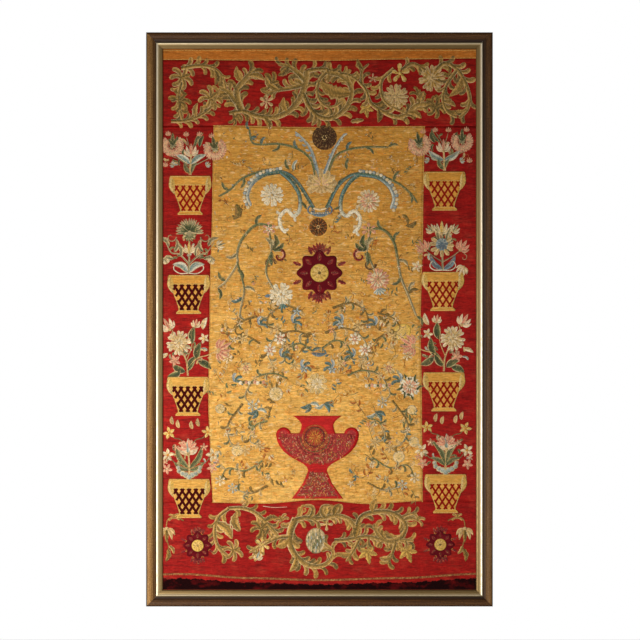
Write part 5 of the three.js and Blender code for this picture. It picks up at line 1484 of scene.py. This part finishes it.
# Scrolls of the lower field, worked to both sides of its axis
FIELD_AXIS = -8
LOWER_SCROLLS = [
    [(20, -120), (70, -90), (120, -110), (130, -160), (90, -180)],
    [(30, -60), (90, -40), (160, -60), (200, -120), (180, -180)],
    [(230, -90), (290, -60), (350, -90), (360, -150)],
    [(120, -230), (180, -210), (250, -230), (290, -300), (260, -340)],
    [(60, 40), (130, 60), (190, 30), (200, -20), (160, -30)],
    [(300, -330), (360, -420), (340, -500), (290, -520)],
    [(220, -560), (290, -600), (360, -590), (390, -640)],
    [(200, -660), (270, -690), (340, -670)],
    [(240, 20), (300, 0), (330, -40), (300, -70)],
    [(200, -400), (250, -420), (270, -480), (230, -500)],
]
for k, points in enumerate(LOWER_SCROLLS):
    for side in (-1, 1):
        route = [(FIELD_AXIS + side * x, z + side * 6) for x, z in points]
        look = ("leaf", "olive", "olive")[k % 3]
        sprigs.stem(route, 4.4, 2.6, look, 1.6, "sage" if k % 2 else None)
        sprigs.fine_thread([(x + 4, z - 4) for x, z in route], 1.0, "brown", 1.1)
        line, heading, _ = smooth_line(route, 26)
        for n, (at, way) in enumerate(zip(line[1:-1], heading[1:-1])):
            hand = side * (1 if n % 2 else -1)
            look = ("olive", "sage", "leaf", "straw")[(n + k) % 4]
            sprigs.lobe(*at, bearing(way) + hand * 40, 32, 14, look, hand, 1.4)
        sprigs.rosette(*route[-1], 22, ("ghost", "straw", "cream", "teal_pale")[k % 4], "straw", 6)
        sprigs.star(*line[len(line) // 2], 14, ("straw", "sage", "cream")[k % 3], "rose")
# Flower heads and tufts of leaves in pairs: reach from the axis and height
for side in (-1, 1):
    for reach, z in ((190, -122), (150, -77), (286, -195)):
        sprigs.rosette(FIELD_AXIS + side * reach, z, 26, "white" if reach < 200 else "ghost", "pink", 7)
    for reach, z in ((231, -22), (95, -13), (142, -150), (58, -195), (330, -250)):
        for lean, look in ((60, "blue"), (110, "teal"), (165, "teal")):
            angle = lean if side > 0 else 180 - lean
            sprigs.lobe(FIELD_AXIS + side * reach, z, angle, 40, 16, look, side, 1.5)
sprigs.leaf(-34, -134, 0, 66, 16, "blue_deep", -0.12)
sprigs.leaf(-30, -128, 20, 40, 12, "teal", 0.12)
for x, z in ((-62, -198), (50, -202), (-90, 30), (82, -20)):
    sprigs.star(x, z, 18, "blue", "dark_leaf")
sprigs.knot(330, -50, 40, "yellow", 1.2, 0.8, 16, 30)
sprigs.leaf(-334, 462, -100, 64, 36, "olive", 0.26, 4)
sprigs.curl(-330, 424, 20, 200, 1.0, 4, "olive")
sprigs.leaf(388, 392, 200, 46, 22, "olive", 0.2, 3)

# Urn: the middle of its foot, then half-widths at heights above the foot
URN_X, URN_Z = -8, -718
URN_BODY = [(0, 103), (20, 88), (62, 58), (112, 37), (126, 42), (140, 58), (170, 112), (190, 136), (214, 154),
            (236, 163), (250, 164), (262, 158)]
URN_NECK = [(240, 82), (262, 72), (282, 65), (296, 63), (312, 72), (324, 86), (332, 98)]
URN_EAR_X, URN_EAR_HEIGHT, URN_EAR_RADIUS = 136, 256, 30
URN_EARS, URN_EAR_Z = (URN_X - URN_EAR_X, URN_X + URN_EAR_X), URN_Z + URN_EAR_HEIGHT
# Loose work keeps clear of the urn and the large flowers: x, z, radius
KEEP_CLEAR = [
    (0, 186, 130), (-8, -560, 110), (-8, -470, 190), (-190, 498, 110), (196, 474, 110), (6, 530, 90),
    (20, 724, 60), (-5, 370, 50), (-8, -690, 120),
]
FLECK_LOOKS = ("olive", "teal", "straw", "olive", "sage", "rust", "leaf", "straw", "orange")
STEM_LOOKS = ("olive", "rust", "leaf", "orange", "brown", "orange")
CURL_LOOKS = ("orange", "rust", "olive", "orange", "cream")
KNOT_LOOKS = ("white", "cream", "pink", "blue")


def in_field(x, z, margin):
    """Whether a place is on the field, a margin inside its seams and off the places kept clear."""
    return (on_line(LEFT_SEAM, z) + margin < x < on_line(RIGHT_SEAM, z) - margin
            and on_line(FIELD_FOOT, x) + margin < z < on_line(FIELD_TOP, x) - margin
            and all(math.hypot(x - cx, z - cz) > r for cx, cz, r in KEEP_CLEAR))


def sprig(x, z, angle, size):
    """Small spray: a bowed stem, a few leaves and a flower or knot at its tip."""
    bow = vary(-0.3, 0.3)
    along, aside = np.array(polar(0, 0, 1, angle)), np.array(polar(0, 0, 1, angle + 90))
    root = np.array([x, z])
    tip = root + along * size
    points = [root, root + along * size * 0.5 + aside * size * bow, tip]
    sprigs.fine_thread(points, 1.5, chosen(STEM_LOOKS), 1.0)
    look = chosen(FLECK_LOOKS)
    for share in (0.25, 0.5, 0.75):
        hand = either_hand()
        at = root + along * size * share + aside * size * bow * 2 * share * (1 - share)
        lean = angle + hand * vary(35, 70)
        sprigs.leaf(*at, lean, size * vary(0.28, 0.42), size * 0.14, look, 0.15 * hand, rise=1.2)
    head = rng.random()
    if head < 0.16:
        petals = chosen(("straw", "pink", "cream", "yellow"))
        sprigs.star(*tip, size * 0.2, petals, chosen(("orange", "rose", "dark_leaf")))
    elif head < 0.36:
        sprigs.tulip(*tip, size * 0.22, angle, chosen(("straw", "sage", "cream")), "rust")
    elif head < 0.56:
        for k in range(3):
            sprigs.knot(*(tip + rng.normal(0, size * 0.08, 2)), vary(3, 5),
                        ("white", "pink", "cream")[k], 1.6, spokes=7)


# Sprigs stand closer and grow larger below this height: share kept, least and greatest size
LUSH_BELOW = 60
LUSH, SPARSE = (0.9, 48, 80), (0.4, 34, 54)
SPRIG_GAP, SPRIG_STRAY, LOOSE_STITCHES = 58, 24, 640
for z in np.arange(-700, 760, SPRIG_GAP):
    for x in np.arange(-420, 410, SPRIG_GAP):
        px = x + vary(-SPRIG_STRAY, SPRIG_STRAY)
        pz = z + vary(-SPRIG_STRAY, SPRIG_STRAY)
        kept, least, most = LUSH if pz < LUSH_BELOW else SPARSE
        if rng.random() < kept and in_field(px, pz, 30):
            sprig(px, pz, vary(0, 360), vary(least, most))
for _ in range(LOOSE_STITCHES):
    x, z = vary(-430, 415), vary(-725, 765)
    if not in_field(x, z, 12):
        continue
    kind = rng.random()
    if kind < 0.6:
        size, angle, turns = vary(7, 15), vary(0, 360), vary(0.5, 1.1)
        sprigs.curl(x, z, size, angle, turns, 1.2, chosen(CURL_LOOKS), either_hand())
    elif kind < 0.84:
        angle, length, width = vary(0, 360), vary(9, 18), vary(3, 6)
        sprigs.leaf(x, z, angle, length, width, chosen(FLECK_LOOKS), 0.15, rise=1.0)
    else:
        sprigs.knot(x, z, vary(2.5, 4.5), chosen(KNOT_LOOKS), 1.3, spokes=7)


def turned(table):
    """Outline of a form with the same half-widths to both sides of the urn's middle."""
    heights, halves = (np.array(column, float) for column in zip(*table))

    def at(u, v):
        height = between(heights[0], heights[-1], v)
        return URN_X + (2 * u - 1) * np.interp(height, heights, halves), URN_Z + height
    return at


def round_outline(x, z, radius, lobes=0, depth=0.0):
    """Outline of a disc, with a lobed edge if asked."""
    def at(u, v):
        turn = -2 * np.pi * u
        edge = radius * (1 - depth * (0.5 - 0.5 * np.cos(lobes * turn)))
        reach = edge * (0.02 + 0.98 * v)
        return x + reach * np.cos(turn), z + reach * np.sin(turn)
    return at


def urn_cloth():
    """Red satin urn: body, neck and ears in one cut-out."""
    satin = (urn_satin,)
    body = cloth_sheet("urn_cloth", turned(URN_BODY), 24, 60, 0.6, 1.6, satin)
    neck = cloth_sheet("urn_neck", turned(URN_NECK), 16, 26, 0.5, 1.75, satin)
    discs = [round_outline(x, URN_EAR_Z, URN_EAR_RADIUS) for x in URN_EARS]
    ears = [cloth_sheet("urn_ear", disc, 28, 3, 0.5, 1.85, satin) for disc in discs]
    # The neck's foot and half of each ear lie over the body
    area = body["flat_area"] + 0.8 * neck["flat_area"] + math.pi * (URN_EAR_RADIUS * MM) ** 2
    joined = bmesh.new()
    for piece in (body, neck, *ears):
        joined.from_mesh(piece.data)
    joined.to_mesh(body.data)
    joined.free()
    for piece in (neck, *ears):
        bpy.data.objects.remove(piece, do_unlink=True)
    body["flat_area"] = area
    body["flat_width"] = 2 * (URN_EAR_X + URN_EAR_RADIUS) * MM
    body["flat_length"] = URN_NECK[-1][0] * MM
    return body


urn = urn_cloth()
urn_work = Needlework(base=ON_APPLIQUE)
URN_GROUND_RISE, URN_EAR_MARGIN = 0.6, 11
URN_GROUND = thread("mulberry")
# Stitched grounds of foot and bowl: lowest and highest place, margin of plain satin
for low, high, margin in ((9, 106, 11), (142, 260, 13)):
    side, height = np.meshgrid(np.linspace(-1, 1, 25), np.linspace(low, high, 25), indexing="ij")
    across = side * np.clip(np.interp(height, *zip(*URN_BODY)) - margin, 3, None)
    urn_work.patch(URN_X + across, URN_Z + height, URN_GROUND_RISE, URN_GROUND, (height, across))
turns = np.linspace(0, 2 * np.pi, 24, endpoint=False)
turn, reach = np.meshgrid(turns, np.linspace(0.5, URN_EAR_RADIUS - URN_EAR_MARGIN, 4))
across, up = reach * np.cos(turn), reach * np.sin(turn)
for x in URN_EARS:
    urn_work.patch(x + across, URN_EAR_Z + up, URN_GROUND_RISE, URN_GROUND, (up, across), wrap=True)
URN_FLECK_LOOKS = ("maroon", "olive", "rust", "brown", "maroon", "orange", "maroon", "rose", "sage")
URN_FLECKS = 900
# The waist and the neck stay plain; flecks near the sun's edge are orange: x, height, radius, width
URN_WAIST, URN_FLECKED_TOP = (104, 142), 262
URN_GLOW = (-14, 254, 46, 6)
for _ in range(URN_FLECKS):
    height = vary(8, 300)
    edge = np.interp(height, *zip(*URN_BODY)) if height < 255 else np.interp(height, *zip(*URN_NECK)) - 14
    margin = 15 if height > 120 else 12
    side = vary(-1, 1) * (edge - margin)
    if edge < margin + 6 or URN_WAIST[0] < height < URN_WAIST[1] or height > URN_FLECKED_TOP:
        continue
    look = chosen(URN_FLECK_LOOKS)
    if abs(math.hypot(side - URN_GLOW[0], height - URN_GLOW[1]) - URN_GLOW[2]) < URN_GLOW[3]:
        look = "orange"
    angle, length, width = vary(0, 360), vary(6, 12), vary(2.4, 4.4)
    urn_work.leaf(URN_X + side, URN_Z + height, angle, length, width, look, 0.2, rise=1.1)
# Sun between bowl and neck: a red disc, three rings of stitches and its rays
URN_SUN = (URN_X - 10, URN_Z + 246)
urn_work.knot(*URN_SUN, 46, "crimson", 1.3, 1.0, 32)
# Rings: reach, stitch width, look, first and last angle
for reach, width, look, first, last in ((58, 4.6, "brown", 180, 361), (70, 4.2, "maroon", 180, 361),
                                        (47, 3.2, "rust", 0, 360)):
    for angle in np.arange(first, last, 7):
        urn_work.leaf(*polar(*URN_SUN, reach, angle), angle + 70, 10, width, look, 0.2, rise=1.9)
urn_work.fan(*URN_SUN, 18, 12, 22, 5, "rust", rise=2.2, round_tip=False)
urn_work.fan(*URN_SUN, 12, 8, 16, 4.4, "orange", rise=2.5, round_tip=False)
urn_work.rosette(*URN_SUN, 10, "orange", "rust", 8)

# Medallions: name, x, z, radius, boss radius
MEDALLIONS = [("center", 0, 186, 92, 38), ("left", -488, -906, 58, 25), ("right", 484, -902, 58, 25)]
MEDALLION_LOBES, MEDALLION_DEPTH = 8, 0.2


def medallion_cloth(name, x, z, radius):
    """Velvet cut out to a lobed disc, closed at its middle."""
    outline = round_outline(x, z, radius, MEDALLION_LOBES, MEDALLION_DEPTH)
    piece = cloth_sheet(name, outline, 96, 8, 0.45, 1.6, (medallion_velvet,))
    joined = bmesh.new()
    joined.from_mesh(piece.data)
    bmesh.ops.remove_doubles(joined, verts=joined.verts, dist=1e-6)
    rims = [e for e in joined.edges if e.is_boundary]
    bmesh.ops.holes_fill(joined, edges=rims, sides=0)
    bmesh.ops.recalc_face_normals(joined, faces=joined.faces)
    joined.to_mesh(piece.data)
    joined.free()
    piece["flat_width"] = piece["flat_length"] = 2 * radius * MM
    piece["flat_area"] = math.pi * (radius * (1 - MEDALLION_DEPTH / 2) * MM) ** 2
    return piece


medallions = []
for name, x, z, radius, boss in MEDALLIONS:
    ground = medallion_cloth(f"medallion_{name}_velvet", x, z, radius)
    heart = Needlework(base=ON_APPLIQUE)
    heart.knot(x, z, boss, "yellow", 1.8, 1.0, 28)
    heart.fan(x, z, 9, boss * 0.2, boss * 0.62, boss * 0.34, "grape", rise=2.2)
    heart.knot(x, z, boss * 0.2, "olive", 2.9)
    trim = Needlework()
    for up in (1, -1):
        trim.fan(x, z + up * radius * 0.84, 7, 0, radius * 0.5, radius * 0.16, "maroon", up * 90, 120, 1.4,
                 False)
    for k in range(MEDALLION_LOBES):
        turn = 2 * math.pi * (k + 0.5) / MEDALLION_LOBES
        notch = x + radius * 0.86 * math.cos(turn), z + radius * 0.86 * math.sin(turn)
        trim.leaf(*notch, math.degrees(turn), radius * 0.4, radius * 0.2, "maroon", 0, 3, 1.7)
        trim.curl(*notch, radius * 0.1, math.degrees(turn), 0.9, 1.5, "grape")
        turn = 2 * math.pi * k / MEDALLION_LOBES
        lobe = x + radius * 0.5 * math.cos(turn), z + radius * 0.5 * math.sin(turn)
        trim.leaf(*lobe, math.degrees(turn), radius * 0.36, radius * 0.2, "maroon", 0, rise=2.4)
    medallions.append((name, ground, heart.make(f"medallion_{name}_heart", silk_thread),
                       trim.make(f"medallion_{name}_trim", silk_thread)))

# Round brown flower heads on the field's axis: name, x, z, radius, petals, looks of their rings
ROUNDELS = [
    ("upper", 20, 728, 51, 20, ("umber", "umber", "umber")),
    ("lower", -5, 370, 37, 16, ("rust", "umber", "rust")),
]
ROUNDEL_RINGS = ((0.62, 0.36), (0.38, 0.36), (0.16, 0.34))
roundels = []
for name, x, z, radius, petals, looks in ROUNDELS:
    disc = Needlework()
    disc.knot(x, z, radius, "umber", 2.0, 1.0, 32)
    for ring, (inner, length) in enumerate(ROUNDEL_RINGS):
        disc.fan(x, z, petals - 4 * ring, radius * inner, radius * length, radius * 0.22, looks[ring],
                 rise=2.5 + 0.3 * ring)
    for k in range(6):
        disc.knot(*polar(x, z, radius * 0.16, math.degrees(k)), 3, "ghost", 3.6, spokes=7)
    roundels.append((name, disc.make(f"roundel_{name}_stitching", wool_thread)))


def couching_nodes(lay, given):
    """Couching: short stitches spaced along a line, each with a little slant of its own."""
    points = lay.node("GeometryNodeCurveToPoints", {"mode": "LENGTH"},
                      {"Curve": given["Line"], "Length": given["Spacing"]}).outputs
    ball = lay.node("GeometryNodeMeshUVSphere", inputs={"Segments": 6, "Rings": 4, "Radius": 0.5})
    size = lay.vector(given["Stitch Length"], given["Stitch Width"], given["Stitch Width"])
    stitch = lay.node("GeometryNodeTransform", inputs={"Geometry": ball.outputs["Mesh"], "Scale": size})
    aligned = lay.node("FunctionNodeAlignRotationToVector", {"axis": "X"}, {"Vector": points["Tangent"]})
    uneven = lay.node("FunctionNodeRandomValue", {"data_type": "FLOAT"}, {
        2: 0.75, 3: 1.25, "Seed": given["Seed"]})
    lean = lay.math("MULTIPLY", given["Slant"], uneven.outputs[1])
    turned = lay.node("FunctionNodeRotateRotation", {"rotation_space": "LOCAL"}, {
        "Rotation": aligned.outputs[0], "Rotate By": lay.vector(0.0, lean, 0.0)})
    spread = lay.node("GeometryNodeInstanceOnPoints", inputs={
        "Points": points["Points"], "Instance": stitch.outputs[0], "Rotation": turned.outputs[0]})
    real = lay.node("GeometryNodeRealizeInstances", inputs={"Geometry": spread.outputs[0]})
    finish = lay.node("GeometryNodeSetMaterial", inputs={
        "Geometry": real.outputs[0], "Material": given["Finish"]})
    return {"Stitches": finish.outputs[0]}


couching = node_group("couched_line", [
    ("Line", GEOMETRY, None), ("Spacing", FLOAT, 0.006), ("Stitch Length", FLOAT, 0.006),
    ("Stitch Width", FLOAT, 0.002), ("Slant", FLOAT, 0.5), ("Seed", "NodeSocketInt", 7),
    ("Finish", "NodeSocketMaterial", None)], [("Stitches", GEOMETRY)], couching_nodes, "GeometryNodeTree")
couching_inputs = {item.name: item.identifier for item in couching.interface.items_tree}


def couched(name, lines, lift, finish, **sizes):
    """Row of holding stitches over lines of x and z, as one plain mesh."""
    curve = bpy.data.curves.new(name, "CURVE")
    curve.dimensions = "3D"
    for line in lines:
        places = on_cloth(*np.asarray(line, float).T, lift)
        spline = curve.splines.new("POLY")
        spline.points.add(len(places) - 1)
        spline.points.foreach_set("co", np.concatenate([places, np.ones((len(places), 1))], 1).ravel())
    guide = bpy.data.objects.new(name + "_guide", curve)
    bpy.context.scene.collection.objects.link(guide)
    modifier = guide.modifiers.new("couching", "NODES")
    modifier.node_group = couching
    modifier[couching_inputs["Finish"]] = finish
    for label, value in sizes.items():
        modifier[couching_inputs[label.replace("_", " ")]] = value
    ready = guide.evaluated_get(bpy.context.evaluated_depsgraph_get())
    mesh = bpy.data.meshes.new_from_object(ready)
    guide.modifiers.remove(modifier)
    bpy.data.objects.remove(guide, do_unlink=True)
    mesh.polygons.foreach_set("use_smooth", np.ones(len(mesh.polygons), bool))
    piece = bpy.data.objects.new(name, mesh)
    bpy.context.scene.collection.objects.link(piece)
    return piece


SEAM_STEPS, CORNER_STEPS, BRAID_STEPS = 160, 120, 200
BRAID_STRANDS = (1.9, -1.9)
COUCHING_LIFT, BRAID_LIFT = 0.5, 1.5


def line_across(half, steps, height):
    """Line from side to side at a height that depends on x."""
    x = np.linspace(-half, half, steps)
    return np.stack([x, height(x)], -1)


seam_lines = []
upright = np.linspace(LEFT_SEAM[0][0] + 6, LEFT_SEAM[-1][0] - 2, SEAM_STEPS)
for table in (LEFT_SEAM, RIGHT_SEAM):
    seam_lines.append(np.stack([on_line(table, upright), upright], -1))
for table in (FIELD_TOP, FIELD_FOOT):
    x = np.linspace(on_line(LEFT_SEAM, table[0][1]), on_line(RIGHT_SEAM, table[0][1]), CORNER_STEPS)
    seam_lines.append(np.stack([x, on_line(table, x)], -1))
seam_stitches = couched("field_seam_stitches", seam_lines, COUCHING_LIFT, gold_couching, Spacing=0.0055,
                        Stitch_Length=0.0075, Stitch_Width=0.0028, Slant=0.35, Seed=3)
heading_lines = [line_across(SIGHT_X - 2, SEAM_STEPS, line)
                 for line in (beside(HEADING_FOOT, 0), level(SIGHT_Z - 5.0))]
heading_stitches = couched("heading_stitches", heading_lines, COUCHING_LIFT, gold_couching, Spacing=0.006,
                           Stitch_Length=0.0085, Stitch_Width=0.003, Slant=0.2, Seed=5)
braid_lines = [line_across(HEM_HALF, BRAID_STEPS, beside(HEM_LINE, offset)) for offset in BRAID_STRANDS]
braid = couched("hem_braid_strands", braid_lines, BRAID_LIFT, braid_silk, Spacing=0.0034,
                Stitch_Length=0.0064, Stitch_Width=0.0034, Slant=0.7, Seed=9)

# Stitching of the field and the scrolls, by the CAD node that it stands for
stitched = {
    "scroll_top": scroll_top, "scroll_bottom": scroll_bottom, "spray_main": spray_main,
    "palmette": palmette, "spray_left": spray_left, "spray_right": spray_right, "bloom_left": bloom_left,
    "bloom_right": bloom_right,
}
needlework = {node: work.make(f"{node}_stitching", silk_thread) for node, work in stitched.items()}
sprig_piece = sprigs.make("field_sprigs", silk_thread)
urn_piece = urn_work.make("urn_stitching", silk_thread)


def settle(piece, slot, *nodes):
    """Put a piece on the frame's body and hide the nodes that it replaces, if any; its slot is not used."""
    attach(piece, "root")
    if nodes:
        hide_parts(*nodes)


CLOTH_SLOTS = {"field_panel": "gold_silk", "heading_band": "amber_silk", "hem_band": "hem_velvet"}
for node, piece in cloths.items():
    settle(piece, CLOTH_SLOTS.get(node, "red_silk"), node)
for node, piece in needlework.items():
    kind = node.split("_")[0]
    settle(piece, {"scroll": "scroll_silk", "bloom": "bouquet_silk"}.get(kind, "spray_silk"), node)
settle(sprig_piece, "spray_silk")
settle(braid, "braid_silk", "hem_braid")
settle(seam_stitches, "gold_silk")
settle(heading_stitches, "amber_silk")
settle(urn, "urn_satin", "urn")
settle(urn_piece, "urn_satin")
for place, _, cloth, lattice, edging, flowers in baskets:
    settle(cloth, "basket_silk", f"basket_{place}")
    settle(lattice, "lattice_velvet", f"lattice_{place}")
    settle(edging, "basket_silk")
    settle(flowers, "bouquet_silk", f"bouquet_{place}")
for name, ground, heart, trim in medallions:
    settle(ground, "medallion_velvet", f"medallion_{name}")
    settle(heart, "boss_silk", f"medallion_{name}_boss")
    settle(trim, "medallion_velvet")
for name, disc in roundels:
    settle(disc, "roundel_silk", f"roundel_{name}")


# Floor, light and camera
scene = bpy.context.scene
FLOOR_DROP, FLOOR_HALF, FLOOR_NEAR, FLOOR_FAR = 0.2, 4, -5, 0.7
floor_z = frame_low.z - FLOOR_DROP
floor_mesh = bpy.data.meshes.new("studio_floor")
floor_corners = [(side * FLOOR_HALF, y, floor_z) for side, y in (
    (-1, FLOOR_NEAR), (1, FLOOR_NEAR), (1, FLOOR_FAR), (-1, FLOOR_FAR))]
floor_mesh.from_pydata(floor_corners, [], [(0, 1, 2, 3)])
floor = bpy.data.objects.new("studio_floor", floor_mesh)
scene.collection.objects.link(floor)
floor_paint, lay, shader, place = new_material("floor_paint", Roughness=0.8)
floor_shades = shades((0, (226, 224, 220)), (1, (236, 234, 230)))
lay.surface(shader, Base_Color=lay.ramp(lay.noise(place, 3), floor_shades))
floor_mesh.materials.append(floor_paint)

world = bpy.data.worlds.new("studio")
scene.world = world
world.use_nodes = True
sky = world.node_tree
sky.nodes.clear()
lay = Layout(sky)
seen = lay.node("ShaderNodeLightPath").outputs["Is Camera Ray"]
room = lay.node("ShaderNodeBackground", inputs={"Color": (1, 0.98, 0.95, 1), "Strength": 0.1})
paper = lay.node("ShaderNodeBackground", inputs={"Color": (1, 1, 1, 1), "Strength": 1.0})
both = lay.node("ShaderNodeMixShader", inputs={0: seen, 1: room.outputs[0], 2: paper.outputs[0]})
lay.node("ShaderNodeOutputWorld", inputs={"Surface": both.outputs[0]})


def soft_light(name, place, target, size, power, colour):
    """Square lamp that faces a target."""
    lamp = bpy.data.lights.new(name, "AREA")
    lamp.shape, lamp.size, lamp.energy, lamp.color = "SQUARE", size, power, colour
    light = bpy.data.objects.new(name, lamp)
    light.location = place
    light.rotation_euler = (Vector(target) - Vector(place)).to_track_quat("-Z", "Y").to_euler()
    scene.collection.objects.link(light)


soft_light("key", (-1.6, -2.3, CENTRE_Z - 0.7), (-0.05, 0, CENTRE_Z - 0.3), 1.4, 80, (1, 0.96, 0.9))
soft_light("back", (0.9, 2.6, CENTRE_Z + 0.7), (0, 0, CENTRE_Z), 1.6, 30, (1, 0.97, 0.94))
soft_light("fill", (2.3, -3.0, CENTRE_Z - 0.3), (0, 0, CENTRE_Z - 0.1), 2.0, 22, (1, 0.96, 0.9))

# Long lens, square on to the hanging, with the photo's width and its small offsets
LENS, SENSOR, VIEW_WIDTH, VIEW_PLANE = 200, 36, 2.56, -0.03
VIEW_X, VIEW_Z = 2.2 * MM, -2.4 * MM
camera_data = bpy.data.cameras.new("camera")
camera_data.lens, camera_data.sensor_width = LENS, SENSOR
camera = bpy.data.objects.new("camera", camera_data)
camera.location = (VIEW_X, VIEW_PLANE - VIEW_WIDTH * LENS / SENSOR, CENTRE_Z + VIEW_Z)
camera.rotation_euler = (math.pi / 2, 0, 0)
scene.collection.objects.link(camera)
scene.camera = camera
scene.view_settings.view_transform = "Standard"
